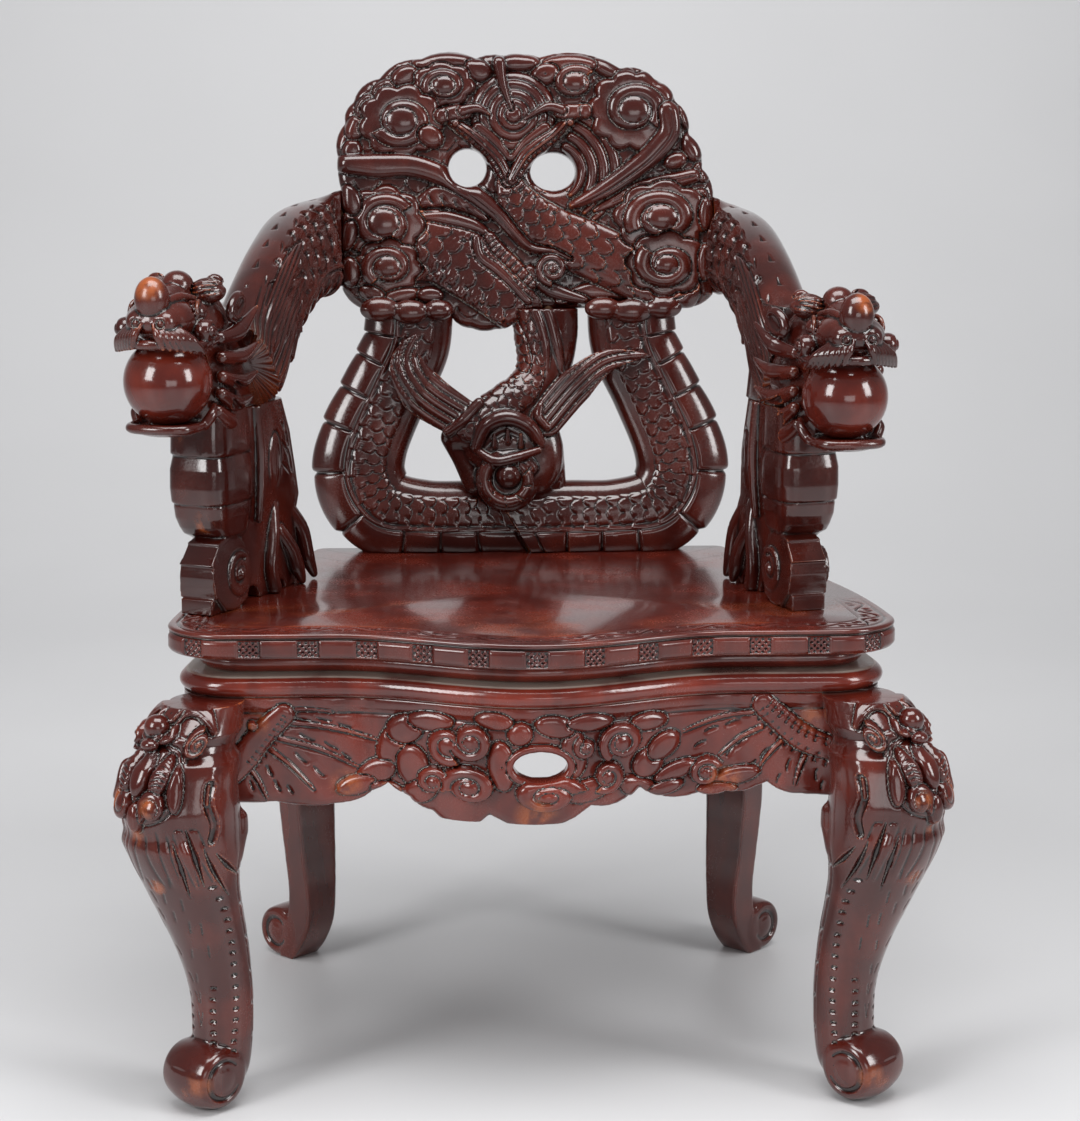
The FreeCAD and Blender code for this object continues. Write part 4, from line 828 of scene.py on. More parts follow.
def back_body(side):
    """One dragon body of the back: belly plates outside, a raised line, scales and a smooth flank."""
    stations = np.array(BODY_PATH)
    if side > 0:
        stations[-1, 0] = -8
    way = spread(stations, int(330 / COARSE))
    far = row_lengths(way[:, :2])
    angle = np.linspace(0, 2 * np.pi, int(190 / COARSE), endpoint=False)
    out, front = carved_ring(angle, 0.78)
    half = way[:, 2:3]
    along = np.gradient(way[:, :2], far, axis=0)
    along /= np.linalg.norm(along, axis=1)[:, None]
    along[0] = (0, -1)
    across = np.stack([-along[:, 1], along[:, 0]], 1)
    wide = out[None] * half
    face = smooth(-0.35, 0.1, front)[None]
    s = far[:, None] + 0 * wide
    line = 0.30
    belly = smooth(line + 0.02, line + 0.1, out)[None] * smooth(-0.95, -0.5, front)[None]
    share = ((s + 6) / sizes().plate_pitch) % 1
    relief = belly * (1.6 + 2.6 * share + 1.2 * np.sin(np.pi * share) ** 0.5)
    relief -= belly * 2.6 * np.exp(-(np.minimum(share, 1 - share) * sizes().plate_pitch / 1.4) ** 2)
    relief += face * 2.6 * np.exp(-((wide - line * half) / 1.9) ** 2)
    relief -= face * 1.4 * np.exp(-((wide - line * half + 4.2) / 1.6) ** 2)
    hide = smooth(line, line - 0.08, out)[None] * smooth(-0.62, -0.45, out)[None] * face
    relief += hide * scales(s, wide + 0.12 * half, sizes().scale_row, 15, 3.2)
    rise = 5.0 * smooth(far[-1] - 70, far[-1] - 10, s) * (1 if side > 0 else -1)
    depth = 0.5 * BACK_THICK - front[None] * (BODY_HALF_DEPTH + relief) - rise * face
    x = way[:, 0:1] + across[:, 0:1] * (wide + relief * out[None])
    height = way[:, 1:2] + across[:, 1:2] * (wide + relief * out[None])
    lean = smooth(far[-1] - 60, far[-1], s) * 0.6 * (height - 31)
    x = side * x - lean - (0.6 if side < 0 else -0.6) * smooth(far[-1] - 20, far[-1], s)
    height = np.maximum(height, 0.4 - (depth - 10) * math.tan(BACK_RAKE))
    return ring_surface(np.stack([x, depth, height], -1))


class CHAIR_OT_back_bodies(bpy.types.Operator):
    """Carve the two dragon bodies of the back."""

    bl_idname = "chair.back_bodies"
    bl_label = "Back Bodies"

    def execute(self, context):
        for side, name in ((-1, "left"), (1, "right")):
            points, faces = back_body(side)
            piece = make_piece(name + "_body_carving", [(back_place(points), faces)], finish_for("lacquer"),
                               LIMITS["body"])
            finish_piece(piece, "lacquered_wood", name + "_back_body")
        return {"FINISHED"}


# Centre carving

def strands(block, *rows):
    """Add a row of (points, radii) strands, each with its own depth in the points."""
    for points, radii in rows:
        block.strand(points, radii, 1.2)


def deep(places, depths):
    """Places (x, height) of the back with a depth each."""
    depths = np.interp(np.linspace(0, 1, len(places)), np.linspace(0, 1, len(depths)), depths)
    return [(x, depth, height) for (x, height), depth in zip(places, depths)]


def centre_block():
    """Third dragon body with its fins, hood and curled ring."""
    block = Block((-140, -42, 6), (150, 40, 268), sizes().cell * COARSE)
    flat = ((0, 1, 0), 0.7)
    block.strand(deep([(26, 265), (28, 237), (27, 207), (16, 180), (-10, 160), (-44, 139), (-70, 129)],
                      [15, 14, 11, 5, -4, -11, -12]), [36, 34, 29, 26, 26, 22, 14], 3, 30, flat=flat)
    block.ball((-19, -10, 122), (46, 16, 34), 6)
    block.strand(deep([(21, 148), (30, 115), (37, 66)], [-2, 0, 13]), [14, 15, 12], 5, flat=flat)
    block.ball((16, -6, 103), (28, 13, 38), 6)
    block.strand(deep([(-74, 125), (-62, 103), (-51, 77)], [-8, -4, 2]), [12, 12, 12], 5, flat=flat)
    block.ball((-15, -9, 81), (34, 14, 36), 4)
    sheet = Sheet(*np.meshgrid(block.axes[0], block.axes[2], indexing="ij"))
    hide, along, across = sheet.line([(2, 276), (6, 239), (10, 205), (-1, 176), (-27, 161), (-55, 139)],
                                     [14, 14, 16, 18, 19, 16])
    sheet.h += np.where(hide < 0, scales(along * 175, across, 11, 12, 3.4), 0)
    sheet.score([(-13, 271), (7, 227), (11, 201), (1, 188)], 1.6, 1.2)
    block.f -= (sheet.h * smooth(-3, 3, 12 - 0.14 * (120 - sheet.b)))[:, None, :].astype(np.float32)
    strands(block,
            (deep([(-7, 290), (13, 265), (26, 225), (27, 182)], [-2, -6, -8, -8]), [5, 6, 5, 1.5]),
            (deep([(4, 293), (26, 265), (38, 224), (44, 190)], [-2, -5, -6, -4]), [5, 7, 6, 2]),
            (deep([(26, 288), (44, 258), (52, 229), (49, 201)], [6, 6, 6, 6]), [6, 6, 6, 2]))
    for points, widths, depths, flutes in (
            ([(-112, 234), (-122, 206), (-104, 174), (-63, 146)], [2, 17, 25, 21], [-12, -15, -19, -17], 9),
            ([(134, 213), (91, 207), (57, 180), (27, 145)], [1.5, 12, 19, 18], [-7, -11, -15, -15], 8)):
        blade, along, across = sheet.line(points, widths)
        aside = np.clip(np.abs(across) - 8, 0, None)
        middle = np.interp(along, np.linspace(0, 1, 4), depths) + 0.25 * aside
        flute = 3.0 * np.sqrt(np.clip(1 - ((across / flutes + 0.5) % 1 * 2 - 1) ** 2, 0, 1))
        deepness = block.axes[1][None, :, None]
        middle, flute = middle[:, None, :], flute[:, None, :]
        shape = np.abs(deepness - middle) - 5 - flute * (deepness < middle)
        block.join((slice(None),) * 3, np.maximum(shape, blade[:, None, :]), 1.0)
    block.strand(deep([(-78, 133), (-61, 146), (-45, 163)], [-20, -22, -20]), [6, 7, 6], 1.0)
    block.strand(deep([(20, 160), (18, 148), (27, 137)], [-20, -22, -20]), [4, 5, 5], 1.0)
    for t in np.linspace(0.1, 0.95, 6):
        block.strand([(-76 + 14 * t, -26, 122 - 16 * t),
                      (-76 + 14 * t + 12, -25, 122 - 16 * t + 9)], [1.1], 0.5, cut=True)
    block.strand(deep([(-48, 116), (-38, 139), (-16, 148), (7, 139), (20, 120)], [-24, -27, -28, -27, -24]),
                 [6, 8, 9, 8, 6], 1.2)
    block.strand(deep([(-42, 111), (-16, 131), (16, 115)], [-28, -30, -28]), [4, 7, 4], 1.0, cut=True)
    for spot in ((-29, 126), (-15, 131), (-1, 126)):
        block.strand([(spot[0], -25, spot[1] - 9), (spot[0], -29, spot[1] + 4)], [3.2, 2], 1.0)
    block.strand(deep([(-46, 112), (-29, 102), (-8, 105), (18, 113)], [-25, -29, -29, -26]), [4, 6, 6, 4],
                 1.0)
    ring = [(-15 + r * math.cos(t), -20 - 4 * (t > 2), 81 + r * math.sin(t))
            for t, r in zip(np.linspace(0.5, 7.2, 26), np.linspace(27, 21, 26))]
    block.strand(ring, np.linspace(8.5, 6, 8), 0.8, 60)
    for t in np.linspace(0.9, 6.6, 9):
        c, s = math.cos(t), math.sin(t)
        block.strand([(-15 + 17 * c, -29, 81 + 17 * s),
                      (-15 + 33 * math.cos(t + 0.25), -28, 81 + 33 * math.sin(t + 0.25))],
                     [1.2], 0.5, cut=True)
    block.ball((-14, -22, 86), (14, 13, 14), 0.6)
    low = block.axes[2][None, None, :]
    block.f = np.maximum(block.f, (low - 262)).astype(np.float32)
    return block


class CHAIR_OT_centre_carving(bpy.types.Operator):
    """Carve the third dragon body in the middle of the back."""

    bl_idname = "chair.centre_carving"
    bl_label = "Centre Carving"

    def execute(self, context):
        points, faces = centre_block().surface()
        piece = make_piece("centre_dragon", [(back_place(points), faces)], finish_for("lacquer"),
                           LIMITS["centre"])
        finish_piece(piece, "lacquered_wood", "centre_carving")
        return {"FINISHED"}


# Arms, heads and supports

class Side:
    """Lines that an arm, its head and its support share; sign is -1 on the left."""

    def __init__(self, name, sign, foot, claw, joint, neck, pearl, radius, roll, belly, look, reach):
        self.name, self.sign, self.radius = name, sign, radius
        self.roll, self.belly, self.look = math.radians(roll), belly, math.radians(look)
        self.haunch, self.reach = 0.5 * (1 + belly) * min(reach, 1), reach
        self.foot = np.array([sign * foot, -80.0, 0.0])
        self.along = np.array([sign * claw, 75.0, 0.0]) - self.foot
        self.span = np.linalg.norm(self.along)
        self.along /= self.span
        self.across = np.cross([0, 0, 1.0], self.along)
        self.pearl = np.array([sign * pearl[0], -170.0, pearl[1]])
        forward = (self.pearl - self.foot - self.along * 0.08 * self.span) * (1, 1, 0)
        self.forward = forward / np.linalg.norm(forward)
        self.lateral = np.cross([0, 0, 1.0], self.forward) * sign
        self.joint_x, self.joint_z, self.neck_x = joint[0], joint[1], neck


SIDES = (Side("left", -1, 311, 236, (190, 795), 273, (337, 692), 41, 16, 1.2, 0, 1.03),
         Side("right", 1, 264, 222, (207, 787), 252, (290, 675), 40, 10, 0.98, -8, 0.92))
ARM_STATIONS = ((0, 0, 0, 51, 23), (0.1, 0.03, 0, 51, 25), (0.31, 0.13, -0.05, 51, 29),
                (0.54, 0.34, 0, 49, 30), (0.69, 0.58, 0.21, 47, 30), (0.84, 0.8, 0.54, 45, 30),
                (1, 1, 1, 47, 29), (1.03, 1.09, 1.17, 44, 28))


def crescents(along, across, row, column, depth):
    """Depths of staggered gouge cuts, each a crescent that bulges against the way along."""
    line = np.floor(along / row)
    u = ((across / column + 0.5 * (line % 2)) % 1 - 0.5) * column
    behind = 0.2 * u ** 2 - (along - (line + 0.35) * row)
    body = np.sqrt(np.clip(1 - (2.1 * u / column) ** 2, 0, 1))
    return depth * body * np.where(behind > 0, np.clip(1 - behind / 2.5, 0, 1),
                                   np.clip(1 + behind / 14, 0, 1))


def arm_relief(run, arc, flank, high, length):
    """Relief of an arm: scales, nicks along the top, locks of hair in front and belly plates below."""
    face = smooth(0.0, 0.25, flank)
    front = smooth(0.74 * length, 0.84 * length, run)
    scaled = face * smooth(0.86, 0.76, high) * smooth(-0.6, -0.52, high) * (1 - front)
    relief = -scaled * crescents(run, arc, 32, 15, 4.0)
    wedge = run % 40
    nick = np.clip(1 - np.abs(arc - 52) / (0.6 + 0.22 * wedge), 0, 1) * (wedge < 17)
    relief -= 2.6 * smooth(0, 0.5, nick) * smooth(0, 14, wedge) * (run < 0.8 * length)
    comb = np.abs((arc + 0.1 * (run - 0.6 * length)) / 7.5 % 1 - 0.5) * 7.5
    relief -= face * smooth(0.9, 0.8, high) * front * 1.9 * np.exp(-(comb / 1.3) ** 2)
    for tip, middle in ((0.5, 16), (0.6, -6), (0.68, -24)):
        ahead = run - tip * length
        off = arc - middle + 0.05 * ahead
        half = 11 * np.sqrt(np.clip(ahead / (0.2 * length), 0, 1))
        lock = smooth(0.9, -0.9, np.abs(off) - half) * smooth(0.4, 0.3, ahead / length) * face
        hair = 2.2 - 1.7 * np.exp(-((np.abs(off / 5.2 % 1 - 0.5) * 5.2) / 1.1) ** 2)
        relief = relief * (1 - lock) + lock * hair
        rim = np.exp(-((np.abs(off) - half - 1.2) / 1.1) ** 2)
        relief -= 2.0 * face * rim * (half > 1) * (ahead < 0.35 * length)
    relief += 1.8 * face * np.exp(-((high + 0.6) / 0.03) ** 2)
    relief -= 1.6 * face * np.exp(-((high + 0.67) / 0.03) ** 2)
    plate = ((run + 12) / 40) % 1
    below = smooth(-0.66, -0.76, high) * smooth(-0.5, 0.0, flank)
    relief += below * 3.2 * plate * smooth(1.0, 0.9, plate)
    return relief * smooth(0, 14, run)


def arm_rings(s):
    """Arm swept from the crest to the neck, its top rolled a little outwards."""
    height = (s.joint_z - SEAT_TOP) / math.cos(BACK_RAKE)
    rear = back_place(np.array([[0, 0.5 * BACK_THICK, height]]))[0, 1]
    table = np.array(ARM_STATIONS)
    places = np.stack([s.sign * (s.joint_x + (s.neck_x - s.joint_x) * table[:, 0]),
                       rear - (rear + 55) * table[:, 1],
                       s.joint_z - (s.joint_z - s.pearl[2] - 24) * table[:, 2], table[:, 3], table[:, 4]], 1)
    way = spread(places, int(360 / COARSE))
    far = row_lengths(way[:, :3])
    along = np.gradient(way[:, :3], far, axis=0)
    start = smooth(60, 5, far)[:, None]
    along = along / np.linalg.norm(along, axis=1)[:, None] * (1 - start) + np.array([s.sign, 0, 0]) * start
    along /= np.linalg.norm(along, axis=1)[:, None]
    up = np.array([0, 0, 1.0]) - along * along[:, 2:3]
    up /= np.linalg.norm(up, axis=1)[:, None]
    inner = np.cross(along, up) * s.sign
    roll = (s.roll * smooth(0, 70, far))[:, None]
    inner, up = inner * np.cos(roll) + up * np.sin(roll), up * np.cos(roll) - inner * np.sin(roll)
    angle = np.linspace(0, 2 * np.pi, int(240 / COARSE), endpoint=False)
    flank, high = [row[None] for row in carved_ring(angle, 0.86)]
    bulge = smooth(0, 50, far)[:, None]
    tall = way[:, 3:4] * np.where(high > 0, 1 - 0.24 * bulge, 1 + (s.belly - 1) * bulge)
    run = far[:, None] + 0 * tall
    relief = arm_relief(run, np.arctan2(high, flank) * 38, flank, high, far[-1])
    ring = (way[:, None, :3] + inner[:, None] * (flank * (way[:, 4:5] + relief))[..., None]
            + up[:, None] * (high * (tall + relief))[..., None])
    past = np.clip((ring - s.pearl) @ s.forward + NECK_SEAM, 0, None)
    return ring - past[..., None] * s.forward


def plan_block(s, low, high, sections, blend_share=0.6):
    """Block in (across, along, up) of a support, filled between level sections (z, front, rear, half)."""
    block = Block((-58, -60, low), (58, s.span * 1.05 + 22, high), sizes().cell * COARSE)
    z = block.axes[2]
    table = np.array(sections)
    front, rear, half = [np.interp(z, table[:, 0], table[:, i])[None, None, :] for i in (1, 2, 3)]
    x, y = block.axes[0][:, None, None], block.axes[1][None, :, None]
    middle, reach = 0.5 * (front + rear), 0.5 * (rear - front)
    power = 2 / blend_share
    near = (np.abs(x / half) ** power + np.abs((y - middle) / reach) ** power) ** (1 / power)
    block.f = ((near - 1) * np.minimum(half, reach)).astype(np.float32)
    block.f = np.maximum(block.f, np.maximum(low + 2 - z, z - high + 2)[None, None, :]).astype(np.float32)
    return block


def stop_at_head(s, block):
    """Cut a neck off where the head is joined to it."""
    x, y = block.axes[0][:, None, None], block.axes[1][None, :, None]
    forward = (x * (s.across @ s.forward) * -s.sign + y * (s.along @ s.forward)
               + (s.foot - s.pearl) @ s.forward)
    block.f = np.maximum(block.f, forward + NECK_SEAM).astype(np.float32)


def plan_place(s, points):
    """Points (across, along, up) of a support set in the chair's frame."""
    out, back, up = points.T[:, :, None]
    return s.foot + out * s.across * -s.sign + back * s.along + up * (0, 0, 1)


class CHAIR_OT_arms(bpy.types.Operator):
    """Carve the two scaled arms with the neck that stands on each support."""

    bl_idname = "chair.arms"
    bl_label = "Arms"

    def execute(self, context):
        for s in SIDES:
            shells = [ring_surface(arm_rings(s))]
            n = s.span
            neck = plan_block(s, 653, 752, ((653, -24, 0.6 * n, 32), (695, -20, 0.55 * n, 30.5),
                                            (752, -8, 0.44 * n, 24)))
            for x in (-1, 1):
                for i in range(11):
                    y = -18 + 11 * i
                    neck.strand([(x * 34, y, 656 + i), (x * 33, y + 4, 684), (x * 31, y + 2, 712),
                                 (x * 26, y - 6, 746)],
                                [0.8, 1.7, 1.7, 0.8], 0.8, cut=True)
            for height, share in ((672, 0.6), (694, 0.575), (716, 0.53)):
                neck.strand([(-40, share * n, height), (40, share * n, height)], [2.6], 1.0, cut=True)
            stop_at_head(s, neck)
            points, faces = neck.surface()
            shells.append((plan_place(s, points), faces))
            piece = make_piece(s.name + "_arm_carving", shells, finish_for("dark"), LIMITS["arm"])
            finish_piece(piece, "lacquered_wood", s.name + "_arm")
        return {"FINISHED"}


def carve_face(block, side):
    """One side of a head: nostril, eye, combed tuft, lip strands and moustache."""
    block.ball((side * 14, 32, 58), (11, 12, 11), 2.5)
    block.strand([(side * 11, 24, 76), (side * 17, 6, 79), (side * 22, -14, 76)], [4, 4, 2.5], 1.2)
    block.ball((side * 35, -4, 64), (14, 14, 12), 2.0, cut=True)
    block.ball((side * 28, -6, 64), 9.5, 0.6)
    lid = [(side * (30 + 3 * math.cos(t)), -5 + 12 * math.cos(t), 64 + 10 * math.sin(t))
           for t in np.linspace(0, 2 * math.pi, 13)]
    block.strand(lid, [2.2], 1.2, 40)
    block.ball((side * 26, -38, 81), (17, 17, 12), 1.5)
    block.ball((side * 29, -47, 88), (9, 8, 8), 1.5)
    for t in np.linspace(-0.5, 2.9, 9):
        arch = [math.sin(math.pi * (0.12 + 0.8 * u)) for u in np.linspace(0.08, 0.95, 6)]
        groove = [(side * (8 + 36 * u), -39 + 18 * math.cos(t + 0.7 * u) * a,
                   81 + 13 * math.sin(t + 0.7 * u) * a)
                  for u, a in zip(np.linspace(0.08, 0.95, 6), arch)]
        block.strand(groove, [1.7], 0.8, 14, cut=True)
    block.ball((side * 39, 2, 48), (11, 12, 11), 2.0)
    for turn in range(3):
        reach = 9.5 - 3.2 * turn
        curl = [(side * (49 - 2 * turn), 4 + reach * math.cos(t), 48 + reach * math.sin(t))
                for t in np.linspace(0, 2 * math.pi, 11)]
        block.strand(curl, [1.2], 0.6, 30, cut=True)
    for i in range(7):
        start = (side * (6 + 2.8 * i), 43 - 1.9 * i, 57 - 0.5 * i)
        middle = (side * (11 + 4.3 * i), 47 - 3.6 * i, 47 - 1.0 * i)
        end = (side * (15 + 4.7 * i), 44 - 4.8 * i, 35 - 1.0 * i)
        block.strand([start, middle, end], [2.2, 3.8, 2.0], 0.3)


def carve_mane(block, side):
    """Flames behind the jaw, with deep hollows between them, and an ear."""
    flames = (((40, -32, 38), (47, -60, 42), (53, -93, 62)), ((41, -32, 20), (48, -60, 18), (53, -94, 28)),
              ((41, -32, 2), (47, -60, -6), (51, -94, 0)), ((40, -31, -14), (45, -56, -26), (48, -90, -22)),
              ((37, -29, -30), (42, -50, -42), (45, -80, -46)))
    for points in flames:
        block.strand([(side * x, y, z) for x, y, z in points], [6, 8, 1.5], 1.0)
    hollows = (((50, -46, 30), (53, -62, 30), (56, -80, 42)), ((50, -46, 11), (53, -62, 7), (56, -82, 12)),
               ((49, -45, -6), (52, -60, -14), (54, -78, -12)),
               ((47, -42, -22), (50, -54, -33), (52, -66, -36)))
    for points in hollows:
        block.strand([(side * x, y, z) for x, y, z in points], [3, 5.5, 2], 1.0, cut=True)
    tilt = np.array([[1, 0, 0], [0, 0.9, -0.43], [0, 0.43, 0.9]])
    block.ball((side * 43, -64, 64), (7, 20, 13), 1.5, tilt)
    block.ball((side * 49, -62, 64), (4, 14, 8), 1.0, tilt, cut=True)


def head_block(s):
    """Dragon head in (lateral, forward, up) round the pearl."""
    block = Block((-70, -99, -60), (70, 62, 112), sizes().cell * COARSE)
    block.ball((0, -46, 40), (38, 52, 47), 4)
    block.strand([(0, -52, 8), (0, -100, 10)], [36, 36], 6)
    block.ball((0, -50, -10), (39, 30, 44), 6)
    block.ball((0, 8, 58), (33, 36, 21), 5)
    block.strand([(0, -26, 78), (0, 4, 75), (0, 26, 78)], [14, 10, 12], 3)
    block.ball((0, -28, 86), (15, 15, 14), 1.2)
    for side in (-1, 1):
        carve_face(block, side)
    block.strand([(-41, -18, 38), (-37, 16, 36), (0, 44, 38), (37, 16, 36), (41, -18, 38)],
                 [4, 4, 4.5, 4, 4], 2, 40)
    block.ball((0, 6, -1), (62, 42, 37.5), 1.5, cut=True)
    block.ball((0, -4, -44), (31, 38, 7), 3)
    rim = ((31, -16), (31, 14), (23, 29), (0, 34), (-23, 29), (-31, 14), (-31, -16))
    block.strand([(x, y, -41) for x, y in rim], [4.6], 1.5, 50)
    block.strand([(1.1 * x, 1.1 * y, -45) for x, y in rim], [1.2], 0.7, 50, cut=True)
    for side in (-1, 1):
        block.strand([(side * 33, -6, -40), (side * 38, -12, -31), (side * 37, -20, -24)], [5, 5, 3], 1.2)
        carve_mane(block, side)
        block.ball((side * 12, 44, 57), (5, 6, 5), 0.8, cut=True)
        block.ball((side * 12, 39, 57), (4.5, 4, 4.5), 0.5)
    block.ball((0, 32, 79), (16, 15.5, 20), 1.0)
    block.ball((0, 0, 0), s.radius + 1.0, 0, cut=True)
    forward, up = block.axes[1][None, :, None], block.axes[2][None, None, :]
    block.f = np.maximum(block.f, -HEAD_SEAM - forward)
    over_support = np.where(forward < -47.5, HEAD_FOOT - s.pearl[2] - up, -99)
    block.f = np.maximum(block.f, over_support).astype(np.float32)
    return block


def head_place(s, points):
    """Points of a head set in the chair's frame, its face turned outwards about the pearl."""
    lateral, forward, up = points.T[:, :, None]
    turn = s.look * smooth(-75, -30, forward)
    across = lateral * np.cos(turn) + forward * np.sin(turn)
    ahead = forward * np.cos(turn) - lateral * np.sin(turn)
    return s.pearl + across * s.lateral + ahead * s.forward + up * (0, 0, 1)


class CHAIR_OT_heads(bpy.types.Operator):
    """Carve the two dragon heads that hold the pearls."""

    bl_idname = "chair.heads"
    bl_label = "Dragon Heads"

    def execute(self, context):
        for s in SIDES:
            points, faces = head_block(s).surface()
            piece = make_piece(s.name + "_head_carving", [(head_place(s, points), faces)],
                               finish_for("lacquer"), LIMITS["head"])
            finish_piece(piece, "lacquered_wood", s.name + "_dragon_head")
        return {"FINISHED"}


def support_block(s):
    """Arm support: belly plates and a stepped foot in front, a haunch with claws behind."""
    n, h, r = s.span, s.span * s.haunch, s.span * s.reach
    block = plan_block(s, 458, 656.7, (
        (460, 34, 0.9 * n, 18), (500, 26, 0.9 * n, 20), (530, 16, 0.88 * n, 22), (552, 8, 0.83 * h, 25),
        (580, 4, 0.77 * h, 28.5), (620, 2, 0.7 * h, 30), (657, 0, 0.6 * h, 30.5)), 0.6)
    post = plan_block(s, 458, 656.7, (
        (460, 20, 26, 10), (524, 4, 30, 20), (529, -4, 36, 22), (534, -14, 40, 26), (541, -20.5, 43, 27),
        (551, -25.5, 45, 29), (562.5, -27.5, 46, 29.6), (564.5, -27, 46, 28.6), (566, -29.5, 47, 31),
        (580, -31, 48, 31.8), (598, -30.5, 48, 31.6), (609, -28, 47, 29.6), (611.5, -27, 46, 28.8),
        (613, -29.5, 47, 31), (630, -29, 46, 30.6), (657, -27, 44, 30)), 0.5)
    block.f = np.minimum(block.f, post.f)
    x, y, z = [axis.reshape(form) for axis, form in zip(block.axes, ((-1, 1, 1), (1, -1, 1), (1, 1, -1)))]
    everywhere = (slice(None),) * 3
    turn = np.arctan2(z - 496, y - 2)
    facet = 0.6
    step = (turn / facet + 0.3) % 1
    round_foot = np.hypot(y - 2, z - 496) * np.cos((step - 0.5) * facet) - 35 - 2.4 * step
    block.join(everywhere, np.maximum(round_foot, np.abs(x + 6) - 19 + 0.06 * (z - 496)) + 0 * x, 1.2)
    block.join(everywhere, np.maximum(np.maximum(np.abs(x + 6) - 17, np.abs(y + 15) - 20), z - 475) + 0 * x,
               1.0)
    for side in (-1, 1):
        disc = np.maximum(np.hypot(y - 14, z - 494) - 21, np.abs(x - side * 20) - 7.5)
        block.join(everywhere, disc + 0 * x, 2)
        curl = [(side * 28, 14 + (15 - 1.9 * t) * math.cos(t + 1.0),
                 494 + (15 - 1.9 * t) * math.sin(t + 1.0))
                for t in np.linspace(0, 5.4, 16)]
        block.strand(curl, [2.4, 2.0, 1.6], 0.8, 50, cut=True)
        block.ball((side * 27, 14, 494), (5, 6, 6), 0.8)
        rib = [(side * 31, 44, 655), (side * 33, 47, 610), (side * 31, 49, 572), (side * 27, 52, 540)]
        block.strand([(a + side * 1, b - 7, c) for a, b, c in rib], [2.2], 0.8, cut=True)
        block.strand(rib, [4.5, 5, 4.5, 3.5], 1.0)
        block.strand([(a, b + 7, c) for a, b, c in rib], [1.8], 0.8, cut=True)
        middle = 0.48 * n
        oval = [(side * 30, middle + 13 * math.cos(t),
                 594 + 30 * math.sin(t)) for t in np.linspace(0, 2 * math.pi, 15)]
        block.ball((side * 26, middle, 594), (5, 13, 30), 2)
        block.strand(oval, [2.2], 0.8, 44, cut=True)
        for lean in (-6, 0, 6):
            block.strand([(side * 32, middle + 0.4 * lean, 572), (side * 32, middle + lean, 594),
                          (side * 31, middle + 0.3 * lean, 618)], [1.2, 1.8, 1.0], 0.7, cut=True)
        for k, height in enumerate((650, 632, 612, 590, 568)):
            block.strand([(side * 28, (0.54 + 0.01 * k) * n, height),
                          (side * 29, (0.6 + 0.025 * k) * n, height - 14),
                          (side * 25, (0.6 + 0.05 * k) * n, height - 32)], [1.0, 2.4, 1.0], 0.8, cut=True)
        block.strand([(side * 20, 0.5 * r, 548), (side * 24, 0.47 * r, 520), (side * 23, 0.45 * r, 490),
                      (side * 21, 0.5 * r, 467)], [7, 7, 7, 8], 1.2)
        block.strand([(side * 13, 0.7 * r, 546), (side * 18, 0.84 * r, 516), (side * 20, 0.9 * r, 486),
                      (side * 21, 0.97 * r, 465)], [8, 9, 8, 4], 1.2)
        block.strand([(side * 19, 0.58 * r, 522), (side * 23, 0.68 * r, 500), (side * 24, 0.74 * r, 480),
                      (side * 24, 0.8 * r, 464)], [7, 8, 8, 4], 1.0)
        for y_share, height in ((0.86, 512), (0.91, 500), (0.69, 500), (0.73, 489)):
            block.strand([(side * 12, y_share * r, height + 8), (side * 36, y_share * r, height + 4)], [1.3],
                         0.6, cut=True)
    block.strand([(0, 0.76 * r, 540), (0, 0.88 * r, 512), (0, 0.95 * r, 482), (0, 1.01 * r, 464)],
                 [10, 11, 9, 4], 1.2)
    block.strand([(-60, 0.31 * n, 461), (60, 0.31 * n, 461)], [12, 12], 2, cut=True)
    block.strand([(-60, 0.63 * n, 461), (60, 0.63 * n, 461)], [9, 9], 1.5, cut=True)
    block.f = np.maximum(block.f, np.maximum(SEAT_TOP + 0.2 - z, z - SUPPORT_TOP)).astype(np.float32)
    return block


class CHAIR_OT_supports(bpy.types.Operator):
    """Carve the two arm supports."""

    bl_idname = "chair.supports"
    bl_label = "Arm Supports"

    def execute(self, context):
        for s in SIDES:
            points, faces = support_block(s).surface()
            piece = make_piece(s.name + "_support_carving", [(plan_place(s, points), faces)],
                               finish_for("dark"), LIMITS["support"])
            finish_piece(piece, "lacquered_wood", s.name + "_arm_support")
        return {"FINISHED"}


# Seat

